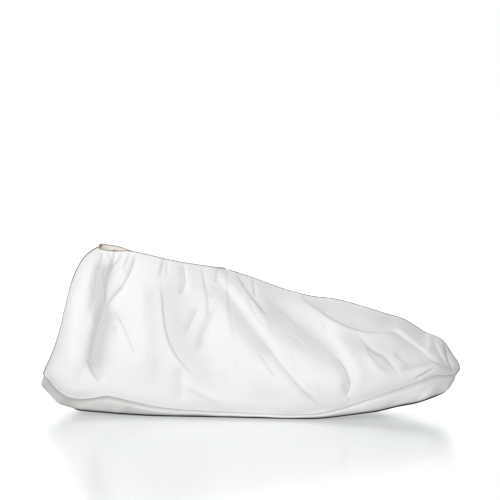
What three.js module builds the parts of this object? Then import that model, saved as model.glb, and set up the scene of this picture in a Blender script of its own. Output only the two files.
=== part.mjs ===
// A cleanroom shoe cover: two limp side panels sewn along the heel and the instep, a coated sole
// sheet whose edge turns up all round, a thin grip sheet under it, and a narrow elastic binding
// that gathers the mouth. Millimetres, +X towards the toe, +Z up; the origin is on the floor at
// the centre of the footprint. The near side is -Y.
import * as THREE from "three";

// Driving dimensions.
const WALL = 1.2; // side panels, and the coated sole sheet
const GRIP_WALL = 1.0; // grip sheet
const GAP = 0.3; // clearance between neighbouring pieces
const SEAM_GAP = 1.0; // height between the two edges that meet at the sole seam
const GRIP_SPAN = [0.162, 0.907]; // stretch of the sections that the grip sheet covers
const GRIP_SHARE = 0.78; // grip sheet's half width, as a share of the sole seam's
const BAND_HEIGHT = 4.6; // elastic binding, a tape that stands on edge inside the rim
const BAND_WALL = 1.0;
const BAND_SHARE = { along: 0.86, across: 0.86 }; // its loop, as a share of the rim's
const BAND_RISE = 0.9; // how far it shows above the rim
const BAND_PEAK = 2.2; // how much more it shows at the back of the mouth
const PEAK_POWER = 12; // how short that peak is
const MOUTH_LEAN = 28; // degrees that the cloth leans in at the rim, where the mouth is wide
const WIDE_MOUTH = 17; // the half width at which it leans by all of that
const FLAT_SHARE = 0.84; // level middle of the sole, as a share of the sole seam's half width
const SOLE_TURN = 0.3; // share of the sole sheet's width that each turned-up edge takes
const HEM_SHARE = 0.2; // share of a panel's height over which its folds fade at each edge
const END_SHARE = 1 / 12; // share of its length over which they fade at heel and toe
const FOLD_TAPER = 4; // how fast a fold fades at its ends
const FOLD_START = 0.25; // and what is left of it there

// Mesh density: cells along each piece and across it.
const PANEL_CELLS = { along: 54, up: 12 };
const SOLE_CELLS = { along: 54, across: 10 };
const GRIP_CELLS = { along: 34, across: 4 };
const BAND_CELLS = 56;

// One row for each section from heel to toe. A section joins a point on the sole seam
// (seamX, seamY, seamZ) to one on the top line (topX, mouthY, topZ), which is the heel seam, then
// the mouth's rim, then the instep seam. drop is how much lower the far rim is. soleX and soleZ
// are the lowest line of the sole there, full is how square the section is (2 is an ellipse), and
// belly how far the cloth sags outwards.
const COLUMNS = [
  "seamX", "seamY", "seamZ", "topX", "mouthY", "topZ", "drop", "soleX", "soleZ", "full", "belly",
];
const SECTIONS = [
  // seam of the sole   top line                   sole line     shape
  [-160.0, 1.2, 28.2, -159.9, 0.0, 32.0, 0.0, -160.9, 26.2, 2.0, 0.0], // heel point
  [-157.2, 10.0, 24.8, -159.0, 0.0, 38.4, 0.0, -164.8, 21.6, 2.0, 0.4],
  [-151.0, 18.0, 18.6, -154.8, 0.0, 49.2, 0.0, -163.4, 18.6, 2.0, 1.2],
  [-142.2, 25.0, 13.8, -150.0, 0.0, 64.3, 0.0, -156.0, 13.6, 2.0, 2.0],
  [-131.0, 30.5, 12.4, -144.9, 0.0, 85.3, 0.0, -146.5, 5.4, 2.1, 3.0],
  [-120.0, 34.2, 13.6, -139.6, 0.0, 104.4, 0.0, -135.0, 3.0, 2.2, 3.5],
  [-109.6, 36.0, 15.6, -133.0, 0.0, 118.0, 0.0, -123.5, 2.3, 2.2, 4.0],
  [-102.0, 37.6, 14.6, -125.8, 0.0, 125.5, 0.0, -113.0, 1.8, 2.2, 4.0],
  [-97.0, 38.4, 13.6, -119.0, 0.0, 129.0, 0.0, -105.5, 1.3, 2.1, 4.0], // back of the mouth
  [-92.0, 39.2, 12.5, -113.5, 10.5, 127.8, 0.0, -98.0, 0.9, 2.1, 4.0],
  [-84.5, 40.0, 10.9, -105.0, 15.8, 126.9, 0.0, -89.0, 0.5, 2.0, 4.5],
  [-70.0, 41.5, 8.2, -91.0, 20.0, 127.2, 4.0, -73.0, 0.1, 1.9, 5.0],
  [-50.0, 43.0, 6.4, -68.0, 19.5, 122.0, 4.5, -52.0, 0.0, 1.9, 5.0],
  [-31.0, 44.2, 5.7, -47.5, 15.5, 117.8, 3.5, -33.0, 0.0, 1.9, 5.0],
  [-14.0, 45.6, 5.2, -28.5, 10.5, 114.6, 1.5, -16.0, 0.0, 1.85, 5.0],
  [-1.0, 47.0, 4.8, -18.0, 0.0, 112.0, 0.0, -3.0, 0.0, 1.8, 5.0], // front of the mouth
  [18.0, 49.0, 4.4, 2.5, 0.0, 105.8, 0.0, 14.0, 0.0, 1.75, 5.0],
  [38.0, 51.0, 4.2, 25.0, 0.0, 97.6, 0.0, 34.0, 0.0, 1.75, 5.0],
  [57.0, 51.6, 5.6, 46.0, 0.0, 92.0, 0.0, 53.0, 0.2, 1.8, 4.5],
  [73.5, 50.4, 12.0, 66.5, 0.0, 89.4, 0.0, 69.0, 1.6, 1.8, 4.0],
  [88.6, 47.4, 18.4, 86.0, 0.0, 84.4, 0.0, 85.0, 3.5, 1.8, 3.0],
  [104.0, 43.0, 22.3, 105.0, 0.0, 78.6, 0.0, 101.0, 5.3, 1.8, 2.5],
  [119.0, 37.0, 25.4, 121.5, 0.0, 73.6, 0.0, 116.5, 8.4, 1.8, 2.0],
  [133.0, 31.0, 30.7, 137.0, 0.0, 64.0, 0.0, 131.5, 10.8, 1.8, 1.5],
  [145.0, 23.5, 30.8, 150.5, 0.0, 58.0, 0.0, 145.5, 15.0, 1.9, 1.0],
  [154.0, 15.5, 29.8, 159.0, 0.0, 46.4, 0.0, 154.6, 18.0, 2.0, 0.5],
  [159.8, 7.0, 29.4, 163.8, 0.0, 39.0, 0.0, 159.2, 24.4, 2.0, 0.2],
  [161.6, 1.2, 29.6, 164.6, 0.0, 34.6, 0.0, 161.4, 27.4, 2.0, 0.0], // toe point
];
const MOUTH_BACK = 8; // the sections at the mouth's two ends
const MOUTH_FRONT = 15;

// One row for each main fold. The path is in side view (x, z), depth is outwards, so a valley is
// negative, and behind and ahead are the widths of its slopes towards the heel and the toe.
const FOLDS = [
  { side: "near", depth: 3.5, behind: 14, ahead: 10, path: [[-133, 116], [-132, 70], [-134, 26]] }, // heel puff
  { side: "near", depth: -5, behind: 5, ahead: 12, path: [[-106, 122], [-110, 88], [-120, 60], [-126, 38]] },
  { side: "near", depth: 3.5, behind: 6, ahead: 7, path: [[-93, 120], [-100, 104], [-108, 92]] }, // leaf by the rim
  { side: "near", depth: -2.5, behind: 3, ahead: 7, path: [[-87, 124], [-92, 106], [-108, 90]] },
  { side: "near", depth: 4, behind: 22, ahead: 12, path: [[-82, 96], [-78, 60], [-72, 24]] }, // main belly
  { side: "near", depth: -3.5, behind: 5, ahead: 14, path: [[-66, 106], [-62, 68], [-46, 40]] },
  { side: "near", depth: -4, behind: 9, ahead: 5, path: [[-26, 106], [-8, 88], [14, 58], [46, 18]] },
  { side: "near", depth: 3, behind: 6, ahead: 8, path: [[-14, 106], [8, 84], [30, 54]] },
  { side: "near", depth: -5, behind: 14, ahead: 8, path: [[24, 88], [54, 62], [74, 42], [80, 20]] },
  { side: "near", depth: -4, behind: 9, ahead: 5, path: [[88, 62], [106, 46], [124, 30]] },
  { side: "near", depth: 2.5, behind: 7, ahead: 6, path: [[44, 92], [88, 68], [114, 65], [143, 44]] }, // toe ridge
  { side: "far", depth: 3.5, behind: 12, ahead: 12, path: [[-134, 114], [-131, 70], [-133, 28]] },
  { side: "far", depth: -4.5, behind: 6, ahead: 12, path: [[-108, 120], [-104, 84], [-116, 44]] },
  { side: "far", depth: 4, behind: 16, ahead: 16, path: [[-78, 104], [-84, 64], [-76, 26]] },
  { side: "far", depth: -4.5, behind: 7, ahead: 12, path: [[-52, 112], [-58, 74], [-38, 34]] },
  { side: "far", depth: -4, behind: 10, ahead: 6, path: [[-22, 104], [0, 76], [22, 40]] },
  { side: "far", depth: 3, behind: 8, ahead: 10, path: [[-4, 98], [26, 66], [48, 34]] },
  { side: "far", depth: -5, behind: 12, ahead: 8, path: [[36, 86], [64, 58], [76, 26]] },
  { side: "far", depth: -3.5, behind: 8, ahead: 6, path: [[84, 70], [104, 52], [116, 34]] },
  { side: "far", depth: 2.5, behind: 7, ahead: 6, path: [[60, 88], [96, 70], [128, 60], [146, 44]] },
];

const SIDES = { near: -1, far: 1 };
const smooth = (t) => t * t * (3 - 2 * t);
const clamp = (t, low, high) => Math.min(high, Math.max(low, t));

// The table's columns at a place between its first row (u = 0) and its last (u = 1).
function sectionAt(u) {
  const place = clamp(u, 0, 1) * (SECTIONS.length - 1);
  const row = Math.min(Math.floor(place), SECTIONS.length - 2);
  const t = place - row;
  const rows = [-1, 0, 1, 2].map((step) => SECTIONS[clamp(row + step, 0, SECTIONS.length - 1)]);
  const section = {};
  COLUMNS.forEach((name, column) => {
    // mouthY goes by its square, which rounds the two ends of the mouth.
    const [a, b, c, d] = rows.map((values) => values[column] ** (name === "mouthY" ? 2 : 1));
    const bend = (2 * a - 5 * b + 4 * c - d) * t * t + (3 * b - a - 3 * c + d) * t * t * t;
    section[name] = b + ((c - a) * t + bend) / 2;
  });
  section.mouthY = Math.sqrt(Math.max(0, section.mouthY));
  return section;
}

// How far the folds of one side push its cloth outwards at a place in side view.
function foldDepth(side, x, z) {
  let total = 0;
  for (const fold of FOLDS) {
    if (fold.side !== side) continue;
    let nearest = Infinity;
    let shift = 0;
    let share = 0;
    const spans = fold.path.length - 1;
    for (let i = 0; i < spans; i++) {
      const [x0, z0] = fold.path[i];
      const [x1, z1] = fold.path[i + 1];
      const length2 = (x1 - x0) ** 2 + (z1 - z0) ** 2;
      const t = clamp(((x - x0) * (x1 - x0) + (z - z0) * (z1 - z0)) / length2, 0, 1);
      const dx = x - x0 - t * (x1 - x0);
      const dz = z - z0 - t * (z1 - z0);
      const distance = Math.hypot(dx, dz);
      if (distance >= nearest) continue;
      nearest = distance;
      share = (i + t) / spans;
      shift = (dx * (z0 - z1) + dz * (x1 - x0)) / Math.sqrt(length2); // positive ahead of the path
    }
    const width = shift > 0 ? fold.ahead : fold.behind;
    const fromEnd = Math.min(share, 1 - share);
    const along = smooth(clamp(FOLD_TAPER * fromEnd + FOLD_START, 0, 1));
    total += fold.depth * along * Math.exp(-((nearest / width) ** 2));
  }
  return total;
}

// The level direction that points out of the sole seam. Both edges there have their thickness
// along it, so they stay parallel.
function seamOutward(side, u) {
  const step = 1e-3;
  const ahead = sectionAt(u + step);
  const behind = sectionAt(u - step);
  const outward = new THREE.Vector3(behind.seamY - ahead.seamY, ahead.seamX - behind.seamX, 0);
  outward.y *= SIDES[side];
  return outward.normalize();
}

// A point on the outside of a side panel: u from heel to toe, v from the sole seam up.
function panelPoint(side, u, v) {
  const s = sectionAt(u);
  const low = s.seamZ + SEAM_GAP / 2;
  const high = s.topZ - (side === "far" ? s.drop : 0);
  const crown = ((90 - MOUTH_LEAN * smooth(Math.min(1, s.mouthY / WIDE_MOUTH))) * Math.PI) / 180;
  const angle = v * crown;
  const power = 2 / s.full;
  const inwards = (1 - Math.cos(angle) ** power) / (1 - Math.cos(crown) ** power);
  const upwards = (Math.sin(angle) / Math.sin(crown)) ** power;
  const x = s.seamX + (s.topX - s.seamX) * upwards;
  const z = low + (high - low) * upwards;
  const hem = smooth(clamp(Math.min(v, 1 - v) / HEM_SHARE, 0, 1)); // folds die out at both edges
  const ends = smooth(clamp(Math.min(u, 1 - u) / END_SHARE, 0, 1));
  const out = s.seamY + (s.mouthY - s.seamY) * inwards + s.belly * Math.sin(Math.PI * v) * (1 - v);
  const y = out + foldDepth(side, x, z) * hem * ends;
  return new THREE.Vector3(x, SIDES[side] * Math.max(y, GAP / 2), z);
}

// A point on the underside of the coated sole sheet: v runs from the near seam to the far one.
function solePoint(u, v) {
  const s = sectionAt(u);
  const edge = clamp(1 - Math.min(v, 1 - v) / SOLE_TURN, 0, 1);
  const side = v < 0.5 ? -1 : 1;
  const level = s.seamY * FLAT_SHARE;
  const flat = side * level * Math.min(1, Math.abs(v - 0.5) / (0.5 - SOLE_TURN));
  const y = edge > 0 ? side * (level + (s.seamY - level) * Math.sin((edge * Math.PI) / 2)) : flat;
  const rise = 1 - Math.cos((edge * Math.PI) / 2);
  const foot = s.soleZ + GRIP_WALL + 2 * GAP;
  const high = s.seamZ - SEAM_GAP / 2;
  return new THREE.Vector3(s.soleX + (s.seamX - s.soleX) * rise, y, foot + (high - foot) * rise);
}

// A point on the underside of the grip sheet, which is level across.
function gripPoint(u, v) {
  const s = sectionAt(GRIP_SPAN[0] + (GRIP_SPAN[1] - GRIP_SPAN[0]) * u);
  return new THREE.Vector3(s.soleX, (2 * v - 1) * s.seamY * GRIP_SHARE, s.soleZ);
}

// A closed solid from a sheet's outer face, given as a function of u and v, and its thickness.
// outward, if given, turns the thickness at an edge, and limit keeps the inner face off a seam.
function sheetGeometry(point, along, across, wall, outward = (u, v, n) => n, limit = (p) => p) {
  const step = 1e-3;
  const columns = across + 1;
  const outer = [];
  const inner = [];
  for (let i = 0; i <= along; i++) {
    for (let j = 0; j <= across; j++) {
      const u = i / along;
      const v = j / across;
      const p = point(u, v);
      const du = point(Math.min(u + step, 1), v).sub(point(Math.max(u - step, 0), v));
      const dv = point(u, Math.min(v + step, 1)).sub(point(u, Math.max(v - step, 0)));
      const normal = outward(u, v, du.cross(dv).normalize());
      outer.push(p);
      inner.push(limit(p.clone().addScaledVector(normal, -wall), u));
    }
  }
  const points = [...outer, ...inner];
  const index = [];
  const quad = (a, b, c, d) => index.push(a, b, c, a, c, d);
  const under = outer.length;
  for (let i = 0; i < along; i++) {
    for (let j = 0; j < across; j++) {
      const a = i * columns + j;
      const b = a + columns;
      quad(a, b, b + 1, a + 1);
      quad(under + a, under + a + 1, under + b + 1, under + b);
    }
  }
  for (let i = 0; i < along; i++) {
    const a = i * columns;
    const b = a + columns;
    quad(a, under + a, under + b, b);
    quad(b + across, under + b + across, under + a + across, a + across);
  }
  for (let j = 0; j < across; j++) {
    const last = along * columns + j;
    quad(j + 1, under + j + 1, under + j, j);
    quad(last, under + last, under + last + 1, last + 1);
  }
  return geometryOf(points, index);
}

function geometryOf(points, index) {
  const geometry = new THREE.BufferGeometry().setFromPoints(points);
  geometry.setIndex(index);
  geometry.computeVertexNormals();
  return geometry;
}

// The middle line of the binding, level with the rim, at t from 0 to 1 round from the back.
function loopPoint(t) {
  const middle = (MOUTH_BACK + MOUTH_FRONT) / 2;
  const place = (-Math.cos(2 * Math.PI * t) * (MOUTH_FRONT - MOUTH_BACK)) / 2;
  const rim = sectionAt((middle + place) / (SECTIONS.length - 1));
  const s = sectionAt((middle + place * BAND_SHARE.along) / (SECTIONS.length - 1));
  const near = Math.sin(2 * Math.PI * t) > 0;
  const y = (near ? -1 : 1) * rim.mouthY * BAND_SHARE.across;
  return new THREE.Vector3(s.topX, y, s.topZ - (near ? 0 : s.drop));
}

// The binding's section, a rounded oblong: out across its wall, up along its height.
const BAND_SECTION = [
  [-0.5, 0.08], [-0.5, 0.92], [-0.2, 1], [0.2, 1], [0.5, 0.92], [0.5, 0.08], [0.2, 0], [-0.2, 0],
];

// The binding: a closed ring of tape, standing inside the rim.
function bandGeometry() {
  const step = 1 / BAND_CELLS;
  const points = [];
  for (let i = 0; i < BAND_CELLS; i++) {
    const t = i * step;
    const here = loopPoint(t);
    const ahead = loopPoint(t + step);
    const behind = loopPoint(t - step);
    const outward = new THREE.Vector3(ahead.y - behind.y, behind.x - ahead.x, 0).normalize();
    const rise = BAND_RISE + BAND_PEAK * Math.max(0, Math.cos(2 * Math.PI * t)) ** PEAK_POWER;
    for (const [out, up] of BAND_SECTION) {
      const p = here.clone().addScaledVector(outward, out * BAND_WALL);
      p.z += rise + (up - 1) * BAND_HEIGHT;
      points.push(p);
    }
  }
  const index = [];
  const ring = BAND_SECTION.length;
  for (let i = 0; i < BAND_CELLS; i++) {
    for (let j = 0; j < ring; j++) {
      const a = i * ring + j;
      const b = i * ring + ((j + 1) % ring);
      const c = ((i + 1) % BAND_CELLS) * ring + ((j + 1) % ring);
      const d = ((i + 1) % BAND_CELLS) * ring + j;
      index.push(a, b, c, a, c, d);
    }
  }
  return geometryOf(points, index);
}

function sidePanel(side) {
  const near = side === "near";
  const place = (u) => (near ? u : 1 - u);
  const point = (u, v) => panelPoint(side, place(u), v);
  const outward = (u, v, normal) => (v === 0 ? seamOutward(side, place(u)) : normal);
  const limit = (p) => {
    p.y = near ? Math.min(p.y, -GAP / 2) : Math.max(p.y, GAP / 2);
    return p;
  };
  return sheetGeometry(point, PANEL_CELLS.along, PANEL_CELLS.up, WALL, outward, limit);
}

function soleSheet() {
  const point = (u, v) => solePoint(1 - u, v);
  const outward = (u, v, normal) => {
    if (v > 0 && v < 1) return normal;
    return seamOutward(v === 0 ? "near" : "far", 1 - u);
  };
  const limit = (p, u) => {
    p.z = Math.min(p.z, sectionAt(1 - u).seamZ - SEAM_GAP / 2);
    return p;
  };
  return sheetGeometry(point, SOLE_CELLS.along, SOLE_CELLS.across, WALL, outward, limit);
}

function gripSheet() {
  return sheetGeometry((u, v) => gripPoint(1 - u, v), GRIP_CELLS.along, GRIP_CELLS.across, GRIP_WALL);
}

const cloth = { color: 0xf4f5f5, roughness: 0.62, metalness: 0 };
const coating = { color: 0xdfe1e0, roughness: 0.4, metalness: 0 };
const grip = { color: 0x45403a, roughness: 0.8, metalness: 0 };
const elastic = { color: 0xd9d2c4, roughness: 0.75, metalness: 0 };

const shoeCover = new THREE.Group();
for (const [name, geometry, look] of [
  ["side_panel_near", sidePanel("near"), cloth],
  ["side_panel_far", sidePanel("far"), cloth],
  ["sole_sheet", soleSheet(), coating],
  ["grip_sheet", gripSheet(), grip],
  ["elastic_binding", bandGeometry(), elastic],
]) {
  const mesh = new THREE.Mesh(geometry, new THREE.MeshStandardMaterial(look));
  mesh.name = name;
  shoeCover.add(mesh);
}

export default shoeCover;
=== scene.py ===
"""A cleanroom shoe cover: two limp side panels sewn along the heel and the instep, a coated sole
sheet whose edge turns up all round, a dark grip sheet under it, and an elastic tape inside the
gathered mouth. Sizes in the tables are millimetres, +X towards the toe and +Z up; the near side
is -Y. A piece becomes metres when its mesh is made."""

import math

import bpy
import numpy as np
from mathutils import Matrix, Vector


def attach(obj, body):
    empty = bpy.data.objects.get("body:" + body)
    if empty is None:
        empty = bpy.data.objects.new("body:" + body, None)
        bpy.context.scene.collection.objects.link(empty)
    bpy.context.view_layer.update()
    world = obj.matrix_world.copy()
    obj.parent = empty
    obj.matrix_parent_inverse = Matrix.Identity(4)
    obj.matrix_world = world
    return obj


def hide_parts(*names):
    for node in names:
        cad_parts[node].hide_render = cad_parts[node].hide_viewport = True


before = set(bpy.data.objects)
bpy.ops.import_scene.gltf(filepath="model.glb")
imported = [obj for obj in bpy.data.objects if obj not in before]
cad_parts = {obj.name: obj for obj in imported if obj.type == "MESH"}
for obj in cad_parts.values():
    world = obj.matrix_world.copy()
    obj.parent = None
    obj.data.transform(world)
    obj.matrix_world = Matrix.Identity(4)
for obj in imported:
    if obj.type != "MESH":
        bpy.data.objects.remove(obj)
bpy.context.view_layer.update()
MM = 0.001

# ---------------------------------------------------------------- sizes, in millimetres
CLOTH_WALL = 0.45  # side panels
SOLE_WALL = 0.6  # coated sole sheet
GRIP_WALL = 1.45  # grip sheet, with its dots
CAD_GRIP_WALL = 1.0  # what the sole sheet stands on
GRIP_CLEARANCE = 0.3
SEAM_SLIT = 0.3  # height between the panels' edge and the sole's, which the seam's thread closes
SEAM_TUCK = 1.3  # how far the sole seam pulls the cloth in
TUCK_HEIGHT = 4.5  # over what height of the panels
SOLE_TUCK_HEIGHT = 2.0  # and of the sole
CREST_SLIT = 0.04  # width left between the two panels along the heel and the instep
MOUTH_LEAN = 28  # degrees that the cloth leans in at the rim, where the mouth is wide
WIDE_MOUTH = 17  # the half width at which it leans by all of that

# Grip sheet.
GRIP_SPAN = (0.158, 0.925)  # stretch of the sections that it covers
GRIP_SHARE = 0.86  # its half width, as a share of the sole seam's
GRIP_ROUND = 0.06  # share of its length over which each of its ends is rounded
GRIP_TIP = 0.02  # share of its width that is left at the tips

# Sole sheet.
FLAT_SHARE = 0.84  # its level middle, as a share of the sole seam's half width
SOLE_SQUARE = 0.5  # under 1 makes its corner tighter than a quarter circle's
SOLE_TURN = 0.3  # share of its width that each turned-up edge takes
SOLE_LIFT_FADE = (0.04, 0.03)  # how soon it comes down past the grip sheet's two ends

# Grip dots.
DOT_HEIGHT = 0.25
DOT_RADIUS = 1.3
DOT_PITCH = 5.2
DOT_ROWS = 0.866  # from one row of dots to the next, as a share of their pitch
DOT_MARGIN = (4, 3)  # clear of the grip sheet's ends and of its sides

# Elastic tape.
TAPE_HEIGHT = 4.4
TAPE_WALL = 0.8
TAPE_INSET = 0.7  # from the cloth's rim to the middle of the tape
TAPE_BACK = (3.2, 12)  # how far its back end is pulled towards the heel, over what length
TAPE_FRONT = (1.5, 6)  # and its front end towards the toe
TAPE_RISE = 0.8  # how far it shows above the rim
TAPE_PEAK = 2.6  # how much more its far side shows at the back of the mouth
PEAK_SHARE = 0.16  # and over what share of the mouth's length
FAR_SIDE_BLEND = 10  # width over which the near side turns into the far one
RIM_SMOOTHING = 8  # rounds of averaging that make its line from the rim's
TAPE_CORNER = 0.42  # radius of its corners, as a share of its wall
TAPE_PROFILE = 26  # points round its profile
RIB_PITCH = 2.1
RIB_DEPTH = 0.06
TAPE_STEP = 0.4  # between the points along it
TAPE_EDGE_SHADE = (0.28, 0.33)  # painted shade: shares of its height from its middle where its edges darken
TAPE_FOLD_SHADE = (1.6, 0.9)  # and how near its back end the fold there does

# Lines that the stitches follow.
THREAD_OVERRUN = 0.7  # how far the heel's thread runs down onto the sole
THREAD_RISE = {"heel": 0.5, "instep": 0.15}  # how far the crest's threads stand off the cloth
SAME_POINT = 0.01  # points of such a line that are nearer than this are one
HEM_INSET = 5.5  # from the rim down to its stitches
HEM_GAP = 0.012  # and from the ends of the mouth, along the sections
SEAM_INSET = 1.1  # from the sole seam up to its stitches
SEAM_ENDS = (0.02, 0.98)  # and where they start and end along the sections
LOOSENESS = 0.07  # radians by which a stitch lies askew at most

# Stitches: how far apart, how long, the thread's radius, their slant in radians, and a seed.
HEEL_STITCH = (0.75, 1.7, 0.64, 0.3, 5)
INSTEP_STITCH = (0.7, 1.5, 0.42, 0.3, 5)
HEM_STITCH = (3.1, 2.5, 0.17, 0.0, 9)
SEAM_STITCH = (3.0, 2.4, 0.17, 0.0, 14)

# Cells of each sheet's grid, from heel to toe and across.
PANEL_CELLS = (492, 180)
LINING_STEP = 4  # cells of a panel's outside for each one of its inside
SOLE_CELLS = (360, 80)
GRIP_CELLS = (220, 40)

# Floor, light and camera, in metres.
FLOOR_REACH = 12.0
FLOOR_TONE = (0.59, 0.59, 0.595)
WHITE_BEHIND = (-0.5, 0.75)  # how far behind the object the floor whitens
WHITE_AROUND = (0.9, 3.5)  # and how far away from it
FLOOR_GLOW = 0.225  # the light that the floor gives back under the object
NEAR_GLOW_TINT = (0.93, 0.97, 1.0)
AMBIENT = 0.42  # strength of the white surroundings, as light
AIR_SHOWS = 1.03  # and as they show
AIR_TINT = (0.97, 0.985, 1.0)
LIGHTS_AIM = Vector((0, 0, 0.06))
LIGHTS = (  # name, place, size, power and colour
    ("key", (-0.5, -2.35, 1.1), 0.9, 34.6, (1.0, 0.995, 0.985)),
    ("heel_fill", (-2.4, -0.5, 0.8), 1.2, 7, (1, 1, 1)),
    ("back_fill", (-0.3, 2.5, 1.2), 1.4, 34, (1, 1, 1)),
)
# The camera stands a little towards the toe and a little above, with a long lens.
AZIMUTH, ELEVATION, DISTANCE, LENS = math.radians(4), math.radians(4), 1.964, 180
AIM = Vector((0, 0, 0.1276))
SENSOR = 36
CLIP = (0.05, 100)

# One row for each section from heel to toe. A section joins a point on the sole seam (seam_x,
# seam_y, seam_z) to one on the top line (top_x, mouth_y, top_z), which is the heel seam, then the
# mouth's rim, then the instep seam. drop is how much lower the far rim is, sole_x and sole_z are
# the lowest line of the sole, full is how square the section is, and belly is its outward sag.
COLUMNS = "seam_x seam_y seam_z top_x mouth_y top_z drop sole_x sole_z full belly".split()
SECTIONS = np.array(
    [
        # seam of the sole     top line                 sole line      shape
        [-163.6, 0.05, 28.6, -162.2, 0.0, 32.4, 0.0, -166.2, 20.9, 2.0, 0.0],  # heel point
        [-158.6, 13.6, 25.0, -159.4, 0.0, 38.4, 0.0, -162.8, 18.8, 2.0, 0.4],
        [-151.4, 21.6, 18.8, -154.8, 0.0, 49.2, 0.0, -157.4, 15.2, 2.0, 1.2],
        [-142.2, 27.8, 13.8, -150.0, 0.0, 64.3, 0.0, -150.6, 9.8, 2.0, 2.0],
        [-131.0, 32.3, 12.4, -144.9, 0.0, 85.3, 0.0, -143.4, 5.6, 2.1, 3.0],
        [-120.0, 34.8, 13.6, -139.6, 0.0, 104.4, 0.0, -134.4, 3.4, 2.2, 3.5],
        [-109.6, 36.4, 15.6, -133.0, 0.0, 118.0, 0.0, -123.5, 2.4, 2.2, 4.0],
        [-102.0, 37.6, 14.6, -125.8, 0.0, 125.5, 0.0, -113.0, 1.8, 2.2, 4.0],
        [-97.0, 38.4, 13.6, -119.0, 0.0, 129.0, 0.0, -105.5, 1.3, 2.1, 4.0],  # back of the mouth
        [-92.0, 39.2, 12.5, -113.5, 10.5, 127.8, 0.0, -98.0, 0.9, 2.1, 4.0],
        [-84.5, 40.0, 10.9, -105.0, 15.8, 126.9, 0.0, -89.0, 0.5, 2.0, 4.5],
        [-70.0, 41.5, 8.2, -91.0, 20.0, 127.2, 4.0, -73.0, 0.1, 1.9, 5.0],
        [-50.0, 43.0, 6.4, -68.0, 19.5, 122.0, 4.5, -52.0, 0.0, 1.9, 5.0],
        [-31.0, 44.2, 5.7, -47.5, 15.5, 117.8, 3.5, -33.0, 0.0, 1.9, 5.0],
        [-14.0, 45.6, 5.2, -28.5, 10.5, 114.6, 1.5, -16.0, 0.0, 1.85, 5.0],
        [-1.0, 47.0, 4.8, -18.0, 0.0, 112.0, 0.0, -3.0, 0.0, 1.8, 5.0],  # front of the mouth
        [18.0, 49.0, 4.4, 2.5, 0.0, 105.8, 0.0, 14.0, 0.0, 1.75, 5.0],
        [38.0, 51.0, 4.2, 25.0, 0.0, 97.6, 0.0, 34.0, 0.0, 1.75, 5.0],
        [57.0, 51.6, 5.6, 46.0, 0.0, 92.0, 0.0, 53.0, 0.2, 1.8, 4.5],
        [73.5, 50.4, 9.4, 66.5, 0.0, 89.4, 0.0, 69.0, 1.6, 1.8, 4.0],
        [88.6, 47.4, 14.0, 86.0, 0.0, 84.4, 0.0, 85.0, 3.5, 1.8, 3.0],
        [104.0, 43.0, 19.2, 105.0, 0.0, 78.6, 0.0, 101.0, 5.3, 1.8, 2.5],
        [119.0, 37.0, 23.4, 121.5, 0.0, 73.6, 0.0, 116.5, 8.4, 1.8, 2.0],
        [133.0, 31.0, 27.8, 137.0, 0.0, 64.0, 0.0, 131.5, 10.8, 1.8, 1.5],
        [145.0, 23.5, 31.9, 150.5, 0.0, 58.0, 0.0, 145.5, 15.0, 1.9, 1.0],
        [154.0, 15.5, 31.4, 159.0, 0.0, 46.4, 0.0, 154.6, 18.0, 2.0, 0.5],
        [159.8, 7.0, 30.6, 163.8, 0.0, 39.0, 0.0, 159.2, 24.4, 2.0, 0.2],
        [161.6, 0.05, 30.4, 164.6, 0.0, 34.6, 0.0, 161.4, 27.4, 2.0, 0.0],  # toe point
    ]
)
MOUTH_BACK = 8 / 27  # where the mouth starts and ends along the sections
MOUTH_FRONT = 15 / 27

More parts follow.
